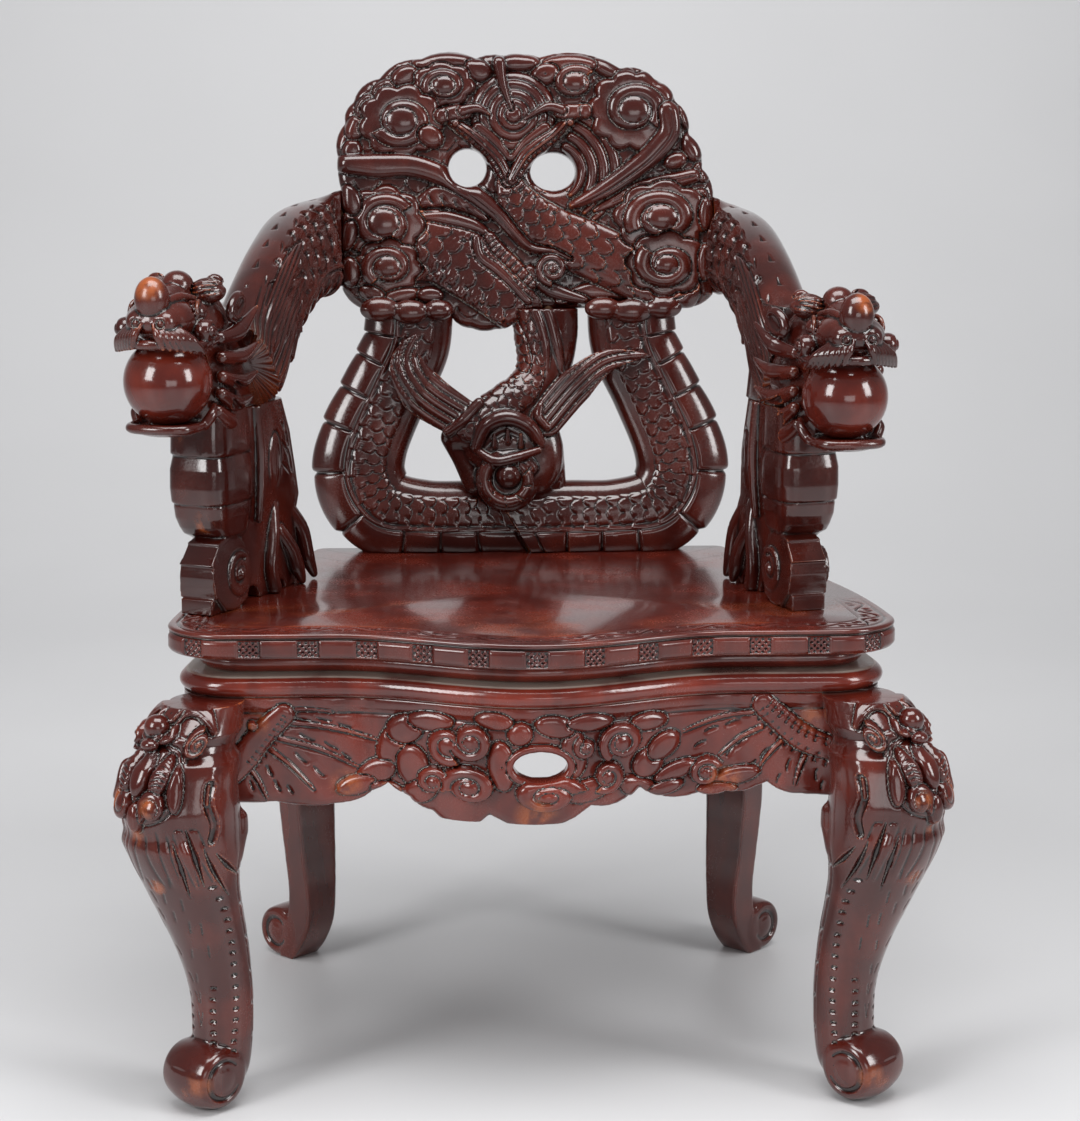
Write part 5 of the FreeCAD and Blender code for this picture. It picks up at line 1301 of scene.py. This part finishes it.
def seat_outline(count):
    """Even points of the seat's edge, with outward directions and distance from the front's middle."""
    half, front, rear, rear_half = SEAT_HALF, -SEAT_FRONT, SEAT_REAR, SEAT_REAR_HALF
    corner, small = 60.0, 13.0
    x = np.linspace(0, half - corner, 90)
    right = [np.stack([x, front - bow(x)], 1)]
    t = np.linspace(-0.5 * math.pi, 0, 30)[1:]
    right.append(np.stack([half - corner + corner * np.cos(t), front + corner + corner * np.sin(t)], 1))
    t = np.linspace(0, 1, 80)[1:, None]
    start, end = np.array([half, front + corner]), np.array([rear_half, rear - small])
    normal = np.array([end[1] - start[1], start[0] - end[0]])
    normal /= np.linalg.norm(normal)
    sag = (np.array([(half + rear_half) / 2 + 25, (start[1] + end[1]) / 2]) - (start + end) / 2) @ normal
    right.append(start + (end - start) * t + normal * sag * 4 * t * (1 - t))
    t = np.linspace(0, 0.5 * math.pi, 14)[1:]
    right.append(np.stack([rear_half - small + small * np.cos(t), rear - small + small * np.sin(t)], 1))
    x = np.linspace(rear_half - small, 0, 40)[1:]
    right.append(np.stack([x, np.full(len(x), rear)], 1))
    right = np.concatenate(right)
    ring = np.concatenate([right, (right * (-1, 1))[::-1][1:]])
    far = row_lengths(ring)
    s = np.linspace(0, far[-1], count, endpoint=False)
    places = np.stack([np.interp(s, far, ring[:, i]) for i in (0, 1)], 1)
    step = np.roll(places, -3, 0) - np.roll(places, 3, 0)
    out = np.stack([step[:, 1], -step[:, 0]], 1)
    out /= np.linalg.norm(out, axis=1)[:, None]
    return places, out, np.minimum(s, far[-1] - s)


def frieze(s, height):
    """Relief of the seat's edge: rounded pads with sunk, hatched squares between them."""
    share = (s + 10) % 55
    square = share < 20
    inside = np.where(square, np.minimum(share, 20 - share), np.minimum(share - 20, 55 - share))
    inside = np.minimum(inside, np.minimum(height - 1.5, 17 - height))
    hatch = np.maximum(np.abs(((share + height) / 6) % 1 - 0.5),
                       np.abs(((share - height) / 6) % 1 - 0.5)) * 2
    pad = np.sqrt(np.clip(1 - (1 - np.clip(inside / 3.5, 0, 1)) ** 2, 0, 1))
    return np.where(square, np.clip(inside / 2, 0, 1) * (3.2 * hatch - 2.2), 2.6 * pad) - 1.0


def seat_border(s, inset):
    """Cut border on the seat's top: a wave between two lines with leaves in its bends."""
    wave = 21 + 7 * np.sin(s * 2 * math.pi / 58)
    depth = 2.0 * np.exp(-((inset - wave) / 1.5) ** 2)
    phase = (s / 29) % 1 - 0.5
    side = np.where(((s / 29) % 2) < 1, 1, -1)
    for turn in (-0.16, 0.16):
        leaf = ((phase - turn) / 0.17) ** 2 + ((inset - 21 + 4.5 * side - 22 * turn * phase) / 4.5) ** 2
        depth += 1.8 * np.clip(1 - leaf, 0, 1)
    return depth + 1.3 * np.exp(-((inset - 9) / 1.2) ** 2) + 1.3 * np.exp(-((inset - 34) / 1.2) ** 2)


class CHAIR_OT_seat(bpy.types.Operator):
    """Carve the seat board: frieze on its edge, cut border on its top."""

    bl_idname = "chair.seat"
    bl_label = "Seat"

    def execute(self, context):
        places, out, s = seat_outline(int(1700 / COARSE))
        front = smooth(150, 60, places[:, 1])[None]
        rows = [(8, 0.0), (2, 0.0), (0.6, 0.8), (0.3, 1.6)]
        rows += [(0.0, height) for height in np.linspace(2.2, 16.8, 13)]
        rows += [(0.3, 17.2), (1.6, 17.8), (2.0, 18.6), (1.2, 19.3), (-0.2, 20.0), (-0.6, 21.4), (0.0, 22.8),
                 (1.2, 23.7), (2.8, 24.0)]
        rows += [(inset, 24.0) for inset in np.arange(4.4, 38, 1.35 * COARSE)]
        inset, height = [np.array(column)[:, None] for column in zip(*rows)]
        shrink = np.minimum(inset, 4 + (inset - 4) * np.where(places[:, 1] > 195, 0.3, 1)[None])
        side = (inset == 0) & (height < 17)
        push = np.where(side, frieze(s[None], height), 0) * front
        cut = np.where(inset > 4, seat_border(s[None], inset), 0) * smooth(-40, -120, places[:, 1])[None]
        ring = np.zeros((len(rows), len(places), 3))
        ring[..., :2] = places[None] + out[None] * (push - shrink)[..., None]
        ring[..., 2] = SEAT_TOP - SEAT_THICK + height - cut
        piece = make_piece("seat_carving", [ring_surface(ring)], finish_for("seat"))
        bpy.ops.object.shade_smooth_by_angle(angle=math.radians(50))
        finish_piece(piece, "lacquered_wood", "seat_board")
        return {"FINISHED"}


# Front apron

APRON_INSET = 13.0
APRON_CUSPS = [
    (293.5, 395.6, 0), (293.5, 291.6, 0), (253, 295.5, 0.1), (222, 307, 0.05), (212, 303, 0.1),
    (182, 300, 0.1), (156, 298, 0.14), (98, 312, 0.16), (52, 298, 0.17), (-43, 291, 0.26), (-97, 290, 0.14),
    (-118, 303, 0.06), (-138, 314, 0.05), (-150, 307, 0.12), (-188, 290.5, 0.06), (-244, 292.5, 0),
    (-293.5, 291.6, 0), (-293.5, 395.6, 0),
]
APRON_HOLE = (4, 340, 25, 14)


def draw_wing(sheet, cuff, fringe, ribs, marks):
    """Bat wing: a cuff with a fringed edge, hollow skin between raised ribs, gouge marks in the skin."""
    for start, end in ribs:
        (a, b), (c, d) = start, end
        middle = ((a + c) / 2, (b + d) / 2 + 3)
        sheet.lay(sheet.line([start, middle, end], [2.6, 2.2, 0.8])[0], 2.2, 2.2, None, 0.8)
        sheet.score([(a, b - 3.6), (middle[0], middle[1] - 3.2), (c, d - 2)], 1.0, 0.9)
    for a, b, length, turn in marks:
        sheet.nick(a, b, length, turn, 2.4, 0.3)
    sheet.lay(sheet.line(cuff, [11, 12, 13, 11])[0], 5, 8, 3)
    for arc in fringe:
        line, along = sheet.line(arc, [6, 6])[:2]
        sheet.h -= 1.3 * (line < 0) * np.clip(np.sin(along * 2 * math.pi * 10), 0, 1)
        sheet.score(arc, 1.2, 1.0)


def draw_apron(sheet):
    """Bat wings at the ends, clouds and leaves round the hole."""
    top = 388 - sheet.b
    sheet.h += 3.0 * smooth(6, 0, top) - 1.2 * np.exp(-((top - 8) / 1.6) ** 2)
    skin = smooth(-150, -165, sheet.a) + smooth(180, 195, sheet.a)
    sheet.h += skin * (1.2 + 1.4 * np.sin(sheet.a * 0.11 + sheet.b * 0.06))
    draw_wing(sheet, [(-236, 379), (-256, 360), (-272, 339), (-285, 323)],
              [[(-231, 377), (-247, 354), (-268, 329)]],
              (((-237, 381), (-190, 381)), ((-231, 371), (-145, 354)), ((-243, 357), (-165, 328)),
               ((-250, 346), (-208, 306)), ((-268, 327), (-251, 293))),
              [(-220, 373, 22, -0.3), (-199, 373, 20, -0.25), (-179, 367, 18, -0.3), (-215, 355, 20, -0.5),
               (-192, 347, 20, -0.5), (-221, 336, 20, -0.8), (-204, 322, 18, -0.8), (-251, 323, 16, -1.1),
               (-244, 309, 16, -1.1), (-268, 311, 14, -1.3), (-232, 305, 14, -1.0), (-178, 338, 14, -0.6)])
    sheet.lay(sheet.disc(-265, 369, 5, 4), 2, 3, 7)
    draw_wing(sheet, [(216, 386), (234, 369), (257, 351), (288, 339)],
              [[(211, 380), (228, 359), (251, 341), (284, 327)],
               [(222, 388), (241, 372), (262, 357), (291, 347)]],
              (((209, 378), (138, 360)), ((215, 363), (175, 335)), ((234, 349), (210, 317)),
               ((257, 333), (247, 303)), ((288, 323), (288, 299))),
              [(188, 369, 20, 3.5), (167, 363, 18, 3.5), (196, 349, 18, 3.9), (185, 340, 16, 4.0),
               (217, 338, 18, 4.1), (206, 326, 16, 4.1), (240, 326, 16, 4.4), (231, 312, 16, 4.4),
               (267, 315, 14, 4.6), (273, 304, 12, 4.6), (156, 349, 16, 3.6)])
    for (a, b), half_a, half_b, turn in (
            ((-134, 350), 14, 22, -0.3), ((-122, 368), 18, 14, 0.3), ((-115, 334), 16, 20, 0.2),
            ((-98, 378), 22, 10, 0), ((-149, 325), 20, 12, 0.4), ((-168, 311), 20, 10, 0.3),
            ((-138, 307), 18, 9, -0.2), ((-108, 310), 18, 12, 0.5), ((-39, 383), 18, 9, -0.1),
            ((-15, 371), 12, 11, 0.4), ((-32, 340), 13, 24, 0.1), ((35, 351), 13, 24, 0),
            ((18, 378), 20, 11, -0.2), ((50, 380), 22, 9, 0), ((48, 315), 22, 11, 0.2),
            ((98, 311), 22, 11, -0.5), ((106, 335), 16, 14, 0.4), ((121, 350), 18, 12, 0.6),
            ((133, 324), 22, 9, 0.3), ((107, 375), 18, 9, 0), ((123, 309), 18, 8, 0.2),
            ((191, 316), 24, 9, 0.2), ((174, 303), 20, 8, 0)):
        sheet.lay(sheet.disc(a, b, half_a, half_b, turn), 5, 8, 2)
    sheet.lay(sheet.disc(*APRON_HOLE[:2], 33, 21), 5, 8, 3)
    for spot, radius, turns, start, hand, squash, boss, level in (
            ((-83, 357), 21, 1.2, 1.0, -1, 1.0, 0.42, 4), ((-61, 363), 22, 1.5, 3.6, 1, 0.95, 0.34, 5),
            ((-63, 319), 30, 1.6, 2.8, -1, 0.72, 0.3, 5), ((-97, 321), 17, 1.3, 0.5, 1, 0.9, 0.36, 4),
            ((11, 313), 37, 1.7, 0.2, 1, 0.56, 0.26, 6), ((81, 359), 24, 1.6, 2.2, -1, 0.92, 0.36, 5),
            ((67, 328), 18, 1.4, 4.0, 1, 1.0, 0.36, 5), ((162, 321), 18, 1.6, 0.4, 1, 0.9, 0.34, 5),
            ((46, 357), 13, 1.3, 2.0, 1, 1.0, 0.36, 4)):
        sheet.scroll(*spot, radius, 8, turns, start, hand, squash, boss, level)


def apron_place(points):
    """Points (x, depth, z) of the flat drawing bent along the bowed front."""
    x, depth, z = points.T
    return np.stack([x, APRON_INSET - SEAT_FRONT - bow(x) + depth, z], 1)


class CHAIR_OT_front_apron(bpy.types.Operator):
    """Carve the front apron."""

    bl_idname = "chair.front_apron"
    bl_label = "Front Apron"

    def execute(self, context):
        block = Block((-298, -12, 284), (298, 26, 400), sizes().cell * COARSE)
        a, b = np.meshgrid(block.axes[0], block.axes[2], indexing="ij")
        sheet = Sheet(a, b)
        draw_apron(sheet)
        edge = outline_distance(outline_points(APRON_CUSPS), a, b)
        edge = np.maximum(edge, -sheet.disc(*APRON_HOLE))
        fall = 7 * (1 - np.sqrt(1 - (1 - np.clip(-edge / 9, 0, 1)) ** 2))
        fall = fall * smooth(388, 378, b) * smooth(292, 286, abs(a))
        front = 7 - sheet.h + fall
        slope = np.sqrt(1 + sum(g * g for g in np.gradient(front, block.cell)))
        depth = block.axes[1][None, :, None]
        solid = np.maximum((front[:, None, :] - depth) / slope[:, None, :], depth - 21.7)
        block.f = np.maximum(solid, edge[:, None, :]).astype(np.float32)
        points, faces = block.surface()
        piece = make_piece("front_apron_carving", [(apron_place(points), faces)], finish_for("apron"),
                           LIMITS["apron"])
        finish_piece(piece, "lacquered_wood", "front_apron")
        return {"FINISHED"}


# Legs

LEG_STATIONS = ((0, 20, 11), (6, 16, 16), (28, 6, 27), (60, 1, 29), (90, 0, 29.5), (110, 1, 30.2),
                (135, 5.5, 32.2), (165, 13.7, 35.8), (195, 24.2, 40), (225, 34.2, 45), (255, 41, 52.6),
                (285, 46, 57), (308, 48, 57.6), (341, 41.7, 57), (370, 27, 49), (396, 9.8, 38.2))
LEG_FOOT, LEG_TOP = 0.2, 395.6
MASK_MIDDLE = 4.0


def leg_line(z):
    """How far the front leg's middle stands out and its radius, smoothly by height."""
    table = np.array(LEG_STATIONS)
    fine = spread(table, 240)
    return np.interp(z, fine[:, 0], fine[:, 1]), np.interp(z, fine[:, 0], fine[:, 2])


def leg_spot(turn, z, lift=0.0):
    """Place on the front leg's surface at a turn in degrees from straight outwards."""
    off, radius = leg_line(z)
    angle = math.radians(turn)
    return np.array([off + (radius + lift) * math.cos(angle), (radius + lift) * math.sin(angle), z])


def both_sides(spots):
    """A row of (turn, z) spots and its mirror image across the mask's middle."""
    return spots, [(2 * MASK_MIDDLE - turn, z) for turn, z in spots]


def draw_mask(sheet):
    """Beast mask under the knee's curls: brow, striped lobes, side lobes and two rolled nostrils."""
    middle = MASK_MIDDLE
    sheet.lay(sheet.disc(middle, 329, 47, 35), 2.0, 9, None, 1.6)
    for hand in (1, -1):
        sheet.lay(sheet.disc(middle + 41 * hand, 329, 8.5, 21, 0.1 * hand), 6, 7, 4, 2.0, 1.6)
        sheet.lay(sheet.disc(middle + 23.5 * hand, 340, 11, 19, -0.2 * hand), 6.5, 8, 4, 2.0, 1.6)
        for i in range(6):
            a, b = middle + 23.5 * hand, 354 - 5 * i
            sheet.score([(a - 10, b - 3), (a, b + 1.5), (a + 10, b - 3)], 1.8, 1.2)
        sheet.scroll(middle + 20 * hand, 313, 18, 7, 1.15, 2.2, -hand, 1.1, 0.45, 3)
    sheet.lay(sheet.disc(middle, 341, 12, 21), 7, 11, 4, 2.2, 1.6)
    sheet.lay(sheet.disc(middle, 302, 8, 15), 5, 7, 4, 1.6, 1.5)
    for spots in both_sides([(25, 370), (41, 366), (49, 353)]):
        sheet.lay(sheet.line(spots, [4, 5, 2])[0], 2.5, 4, None, 0.8)


def draw_curls(sheet):
    """Curls above the mask: a volute on each side with a combed crest and a small hook."""
    for hand in (1, -1):
        sheet.scroll(MASK_MIDDLE + 51 * hand, 368, 15.5, 10, 2.1, 1.4, hand, 1.0, 0.24, 0)
    for spots in both_sides([(19, 385), (22, 393), (37, 396), (57, 389), (71, 377)]):
        sheet.lay(sheet.line(spots, [4, 6, 6.5, 6, 3.5])[0], 7, 5, 1, 1.6)
        for shift in (-4, -1.3, 1.4, 4):
            sheet.score([(a + 0.3 * shift, b + shift) for a, b in spots[:4]], 1.5, 1.0)
    for spots in both_sides([(0, 374), (15, 371), (23, 374), (20, 381)]):
        sheet.lay(sheet.line(spots, [5, 5.5, 4.5, 3.5])[0], 8, 5, 1, 1.6)
    sheet.lay(sheet.disc(MASK_MIDDLE, 392, 17, 10), 7, 7, None, 1.4)


def draw_leg(sheet):
    """Relief of a front leg below the curls: slots, flame cuts, rows of nicks and an edge line."""
    draw_mask(sheet)
    draw_curls(sheet)
    for spots in both_sides([(81, 330), (80, 314), (85, 296), (80, 279)]):
        sheet.lay(sheet.line(spots, [6, 5, 5, 4])[0], -4.5, 3.5, None, -0.8, 2.0)
        sheet.lay(sheet.line(spots[:2], [2.5, 2])[0], 3, 3, None, 0)
    flames = ([(57, 292), (62, 263), (67, 233)], [(71, 274), (78, 251), (99, 218)],
              [(84, 266), (98, 251), (121, 236)], [(42, 279), (46, 252), (48, 222)])
    for row in flames:
        for spots in both_sides(row):
            sheet.lay(sheet.line(spots, [0.6, 3.6, 0.6])[0], -3.6, 2.5, None, -0.6, 1.6)
    for row in ([(64, 287), (70, 265), (80, 236)], [(49, 287), (54, 262), (59, 232)]):
        for spots in both_sides(row):
            sheet.lay(sheet.line(spots, [5, 4.5, 0.8])[0], 2.2, 5, None, 0)
    column = ((77, 232), (84, 219), (88, 207), (89, 195), (88, 183), (87, 170), (85, 159), (83, 147),
              (80, 135), (79, 123), (78, 111), (76, 100), (75, 89), (73, 78), (71, 68), (70, 58), (39, 123),
              (34, 111), (32, 99), (32, 88), (32, 77), (32, 67))
    for spots in both_sides(list(column)):
        for a, b in spots:
            sheet.nick(a, b, 15, math.pi, 3.4, 0.3)
    for row in ([(15, 226), (11, 213)], [(18, 207), (14, 193)], [(36, 222), (33, 206)],
                [(35, 197), (30, 181)], [(21, 165), (15, 153)], [(50, 195), (46, 179)],
                [(13, 137), (8, 125)], [(49, 170), (45, 154)], [(9, 117), (5, 103)], [(10, 96), (3, 79)],
                [(9, 241), (8, 228)], [(29, 245), (28, 232)]):
        for spots in both_sides(row):
            sheet.score(spots, 1.4, 1.3)
    for row in ([(11, 286), (14, 256), (22, 232)], [(25, 292), (28, 262), (32, 230)],
                [(36, 288), (39, 264), (43, 237)]):
        for spots in both_sides(row):
            sheet.score(spots, 1.3, 1.8)
    for turn in (122, -114):
        sheet.score([(turn, 258), (turn, 200), (turn, 130), (turn, 48)], 1.8, 1.6)
        for z in (238, 204, 168, 132, 98, 66):
            away = 24 if turn > 0 else -24
            sheet.score([(turn, z), (turn + away, z - 3)], 2.2, 1.6)


def rolled_foot(block, middle, z, radius, half, slit, barrel=0.004):
    """Rolled foot with a ring and a boss on both ends."""
    x, y, up = [axis.reshape(form) for axis, form in zip(block.axes, ((-1, 1, 1), (1, -1, 1), (1, 1, -1)))]
    roll = np.hypot(x - middle, up - z) - radius + barrel * y * y
    ends = np.abs(y) - half
    block.join((slice(None),) * 3, soft_max(roll, ends, 6), 4)
    for side in (-1, 1):
        ring = [(middle + 0.56 * radius * math.cos(t), side * (half + 0.5), z + 0.56 * radius * math.sin(t))
                for t in np.linspace(-2.6, 2.4, 20)]
        block.strand(ring, [1.5, 3.4, 3.4, 1.5], 0.8, 50, cut=True)
        block.ball((middle, side * (half - 1.5), z), (0.4 * radius, 3.5, 0.4 * radius), 1.0)
    if slit:
        c, s = math.cos(slit), math.sin(slit)
        block.strand([(middle + radius * c, -half - 4, z + radius * s),
                      (middle + radius * c, half + 4, z + radius * s)],
                     [1.1], 0.4, cut=True)


def soft_max(a, b, blend):
    """Larger of two distances, rounded where they meet."""
    return -soft_min(-a, -b, blend)


def front_leg_block():
    """Left front leg in (outwards, around, up): curls, beast mask, flames, nicks and rolled foot."""
    block = Block((-62, -74, -1), (126, 74, 400), 0.85 * sizes().cell * COARSE)
    step = 0.8
    a, b = np.meshgrid(np.arange(-180, 181, step), np.arange(0, 398, step), indexing="ij")
    sheet = Sheet(a, b)
    draw_leg(sheet)
    z = block.axes[2]
    off, radius = [line[None, None, :] for line in leg_line(z)]
    x, y = block.axes[0][:, None, None], block.axes[1][None, :, None]
    turn = np.degrees(np.arctan2(y, x - off))
    row = np.clip((turn + 180) / step, 0, a.shape[0] - 1.001)
    column = np.broadcast_to(np.clip(z / step, 0, a.shape[1] - 1.001)[None, None, :], row.shape)
    i, j = row.astype(np.int32), column.astype(np.int32)
    u, v = row - i, column - j
    h = sheet.h
    low = h[i, j] * (1 - u) + h[i + 1, j] * u
    relief = low * (1 - v) + (h[i, j + 1] * (1 - u) + h[i + 1, j + 1] * u) * v
    high = z[None, None, :]
    waist = 6 * smooth(374, 362, high) * smooth(346, 358, high) + 3.5 * smooth(300, 330, high)
    under_mask = smooth(80, 50, np.abs(turn - MASK_MIDDLE))
    waist = waist + (6 * smooth(266, 284, high) * smooth(362, 350, high)) * under_mask
    block.f = (0.8 * (np.hypot(x - off, y) - radius + waist - relief)).astype(np.float32)
    block.ball(leg_spot(MASK_MIDDLE - 6, 380, 3), 12, 1.0)
    block.ball(leg_spot(MASK_MIDDLE - 2, 366, 1), (8, 9, 6), 1.5)
    for turn in (135, -135):
        block.strand([leg_spot(turn, 252, -5), leg_spot(turn, 276, -2), leg_spot(turn, 289, -1)], [5, 8, 7],
                     6)
    rolled_foot(block, 25, 32.5, 33, 31, 0.35, 0.007)
    up = block.axes[2][None, None, :]
    block.f = np.maximum(block.f, np.maximum(LEG_FOOT - up, up - LEG_TOP)).astype(np.float32)
    return block


BACK_LEG = ((1, 0, 1.07, 2.2), (0.88, 0.38, 1.06, 2.1), (0.758, 0.84, 1.04, 1.9), (0.62, 1.26, 1.02, 1.67),
            (0.48, 1.5, 1, 1.42), (0.39, 1.46, 0.94, 1.38), (0.298, 1.36, 0.875, 1.33),
            (0.197, 1.29, 0.75, 1.42), (0.114, 1.43, 0.72, 1.5), (0.045, 1.79, 0.72, 1.25),
            (0, 2.14, 0.72, 0.83))


def back_leg_block():
    """Left back leg in (outwards, along the board, up): a shaped board with a rolled foot."""
    block = Block((-32, -36, -1), (112, 36, 400), 1.1 * sizes().cell * COARSE)
    table = spread(np.array(BACK_LEG)[::-1], 160)
    z = block.axes[2] / 396
    off, wide, thick = [np.interp(z, table[:, 0], table[:, i] * k)[None, None, :]
                        for i, k in ((1, 28), (2, 28), (3, 12))]
    x, y = block.axes[0][:, None, None], block.axes[1][None, :, None]
    a, b = np.abs(x - off) - thick + 3, np.abs(y) - wide + 3
    outside = np.hypot(np.maximum(a, 0), np.maximum(b, 0))
    block.f = (outside + np.minimum(np.maximum(a, b), 0) - 3).astype(np.float32)
    rolled_foot(block, 74.5, 28, 28, 21.5, 0)
    up = block.axes[2][None, None, :]
    block.f = np.maximum(block.f, np.maximum(LEG_FOOT - up, up - LEG_TOP)).astype(np.float32)
    return block


class CHAIR_OT_legs(bpy.types.Operator):
    """Carve the front legs with their masks and shape the back legs."""

    bl_idname = "chair.legs"
    bl_label = "Legs"

    def execute(self, context):
        turn = math.sqrt(0.5)
        for row, block, place, out, around in (
                ("front", front_leg_block(), (-299, -185), (-turn, -turn), (turn, -turn)),
                ("back", back_leg_block(), (-206, 190), (-turn, turn), (turn, turn))):
            points, faces = block.surface()
            flat = np.array(place) + points[:, 0:1] * np.array(out) + points[:, 1:2] * np.array(around)
            for side, name in ((1, "left"), (-1, "right")):
                set_points = np.stack([flat[:, 0] * side, flat[:, 1], points[:, 2]], 1)
                piece = make_piece("%s_%s_leg_carving" % (row, name), [(set_points, faces)],
                                   finish_for("leg"), LIMITS[row + "_leg"])
                finish_piece(piece, "lacquered_wood", "%s_%s_leg" % (row, name))
        return {"FINISHED"}


# Stage

# Camera set to the photograph's viewing angle: place in metres, turn in degrees, lens in millimetres
CAMERA_PLACE = (-0.08799, -2.62895, 0.98852)
CAMERA_TURN = (79.2558, 0.0, -2.1869)
CAMERA_LENS = 85.78

# Soft lamps: name, place and target in metres, width, height and watts
LAMPS = (("overhead", (0.0, -0.7, 3.0), (0.0, 0.05, 0.5), 2.4, 1.5, 84),
         ("left_softbox", (-2.4, -2.2, 1.9), (0.0, 0.0, 0.55), 1.1, 1.7, 64),
         ("right_softbox", (2.6, -1.7, 1.7), (0.0, 0.0, 0.55), 0.9, 1.6, 48),
         ("backdrop_wash", (0.0, 1.4, 3.0), (0.0, 4.4, 2.3), 3.0, 1.0, 58),
         ("low_front", (0.5, -3.3, 0.75), (0.0, -0.2, 0.35), 1.5, 0.8, 9))


class CHAIR_OT_stage(bpy.types.Operator):
    """Set the pale backdrop, the soft lights and the camera."""

    bl_idname = "chair.stage"
    bl_label = "Stage"

    def execute(self, context):
        n = Nodes("pale_backdrop")
        tint = n.noise(1.3, 2.0)
        base = tuple(colours().floor)
        n.feed(n.shader.inputs["Base Color"], n.mix(n.ramp(tint, 0.3, 0.7), base,
                                                    tuple(v * 0.96 for v in base)))
        n.feed(n.shader.inputs["Roughness"], n.ramp(tint, 0.3, 0.7, 0.42, 0.5))
        bpy.ops.object.select_all(action="DESELECT")
        bpy.ops.mesh.primitive_plane_add(size=14, location=(0, -2.6, 0))
        floor = context.object
        floor.name = "backdrop"
        bpy.ops.object.mode_set(mode="EDIT")
        bpy.ops.mesh.select_mode(type="EDGE")
        bpy.ops.mesh.select_all(action="DESELECT")
        bpy.ops.object.mode_set(mode="OBJECT")
        for edge in floor.data.edges:
            edge.select = all(floor.data.vertices[i].co.y > 6.9 for i in edge.vertices)
        bpy.ops.object.mode_set(mode="EDIT")
        bpy.ops.mesh.extrude_region_move(TRANSFORM_OT_translate={"value": (0, 0, 7)})
        bpy.ops.object.mode_set(mode="OBJECT")
        points = floor.data.vertices
        bend = [e for e in floor.data.edges
                if all(points[i].co.y > 6.9 and points[i].co.z < 0.1 for i in e.vertices)]
        for edge in floor.data.edges:
            edge.select = edge.index == bend[0].index
        bpy.ops.object.mode_set(mode="EDIT")
        bpy.ops.mesh.bevel(offset=2.4, segments=24, affect="EDGES")
        bpy.ops.object.mode_set(mode="OBJECT")
        bpy.ops.object.shade_smooth()
        bpy.ops.object.transform_apply(location=True, rotation=True, scale=True)
        floor.data.materials.append(n.material)
        for name, spot, target, wide, tall, power in LAMPS:
            bpy.ops.object.light_add(type="AREA", location=spot)
            lamp = context.object
            lamp.name = name
            lamp.data.shape = "RECTANGLE"
            lamp.data.size, lamp.data.size_y = wide, tall
            lamp.data.energy = power
            lamp.rotation_euler = (Vector(target) - Vector(spot)).to_track_quat("-Z", "Y").to_euler()
        world = bpy.data.worlds.new("studio") if context.scene.world is None else context.scene.world
        context.scene.world = world
        world.use_nodes = True
        light = world.node_tree.nodes["Background"]
        light.inputs["Color"].default_value = (0.86, 0.86, 0.87, 1)
        light.inputs["Strength"].default_value = 0.25
        view = bpy.data.cameras.new("camera")
        camera = bpy.data.objects.new("camera", view)
        context.scene.collection.objects.link(camera)
        camera.location = CAMERA_PLACE
        camera.rotation_euler = [math.radians(v) for v in CAMERA_TURN]
        view.sensor_width = 36
        view.lens = CAMERA_LENS
        context.scene.camera = camera
        context.scene.view_settings.view_transform = "Standard"
        return {"FINISHED"}


class CHAIR_OT_kept_nodes(bpy.types.Operator):
    """Finish the mouldings, plain aprons and hidden pieces that stay as the frame has them."""

    bl_idname = "chair.kept_nodes"
    bl_label = "Kept Nodes"

    def execute(self, context):
        for name in NODES:
            if name.endswith("_moulding"):
                dress_nodes("moulding", name)
            elif name.endswith("_screws"):
                dress_nodes("steel", name)
            elif name.endswith(("_dowels", "_dowel", "_block", "_bearer")):
                dress_nodes("hidden", name)
            elif name.endswith("_pearl"):
                dress_nodes("pearl", name)
            else:
                dress_nodes("lacquer", name)
        return {"FINISHED"}


OPERATORS = [
    CHAIR_OT_kept_nodes,
    CHAIR_OT_crest,
    CHAIR_OT_back_bodies,
    CHAIR_OT_centre_carving,
    CHAIR_OT_arms,
    CHAIR_OT_heads,
    CHAIR_OT_supports,
    CHAIR_OT_seat,
    CHAIR_OT_front_apron,
    CHAIR_OT_legs,
    CHAIR_OT_stage,
]


class CHAIR_PT_panel(bpy.types.Panel):
    """Lists the chair's pieces, sizes and colours."""

    bl_label = "Dragon Armchair"
    bl_idname = "CHAIR_PT_panel"
    bl_space_type = "VIEW_3D"
    bl_region_type = "UI"
    bl_category = "Armchair"

    def draw(self, context):
        layout = self.layout
        for group in (context.scene.chair_sizes, context.scene.chair_colours):
            box = layout.box()
            for key in group.__annotations__:
                box.prop(group, key)
        for operator in OPERATORS:
            layout.operator(operator.bl_idname)


CLASSES = [ChairSizes, ChairColours] + OPERATORS + [CHAIR_PT_panel]


def register():
    """Register the classes and hang the settings on the scene."""
    for item in CLASSES:
        bpy.utils.register_class(item)
    bpy.types.Scene.chair_sizes = bpy.props.PointerProperty(type=ChairSizes)
    bpy.types.Scene.chair_colours = bpy.props.PointerProperty(type=ChairColours)


def unregister():
    """Remove what register added."""
    del bpy.types.Scene.chair_colours
    del bpy.types.Scene.chair_sizes
    for item in reversed(CLASSES):
        bpy.utils.unregister_class(item)


def main():
    """Register the classes, then build every piece in order."""
    register()
    for operator in OPERATORS:
        group, name = operator.bl_idname.split(".")
        getattr(getattr(bpy.ops, group), name)()


if __name__ == "__main__":
    main()
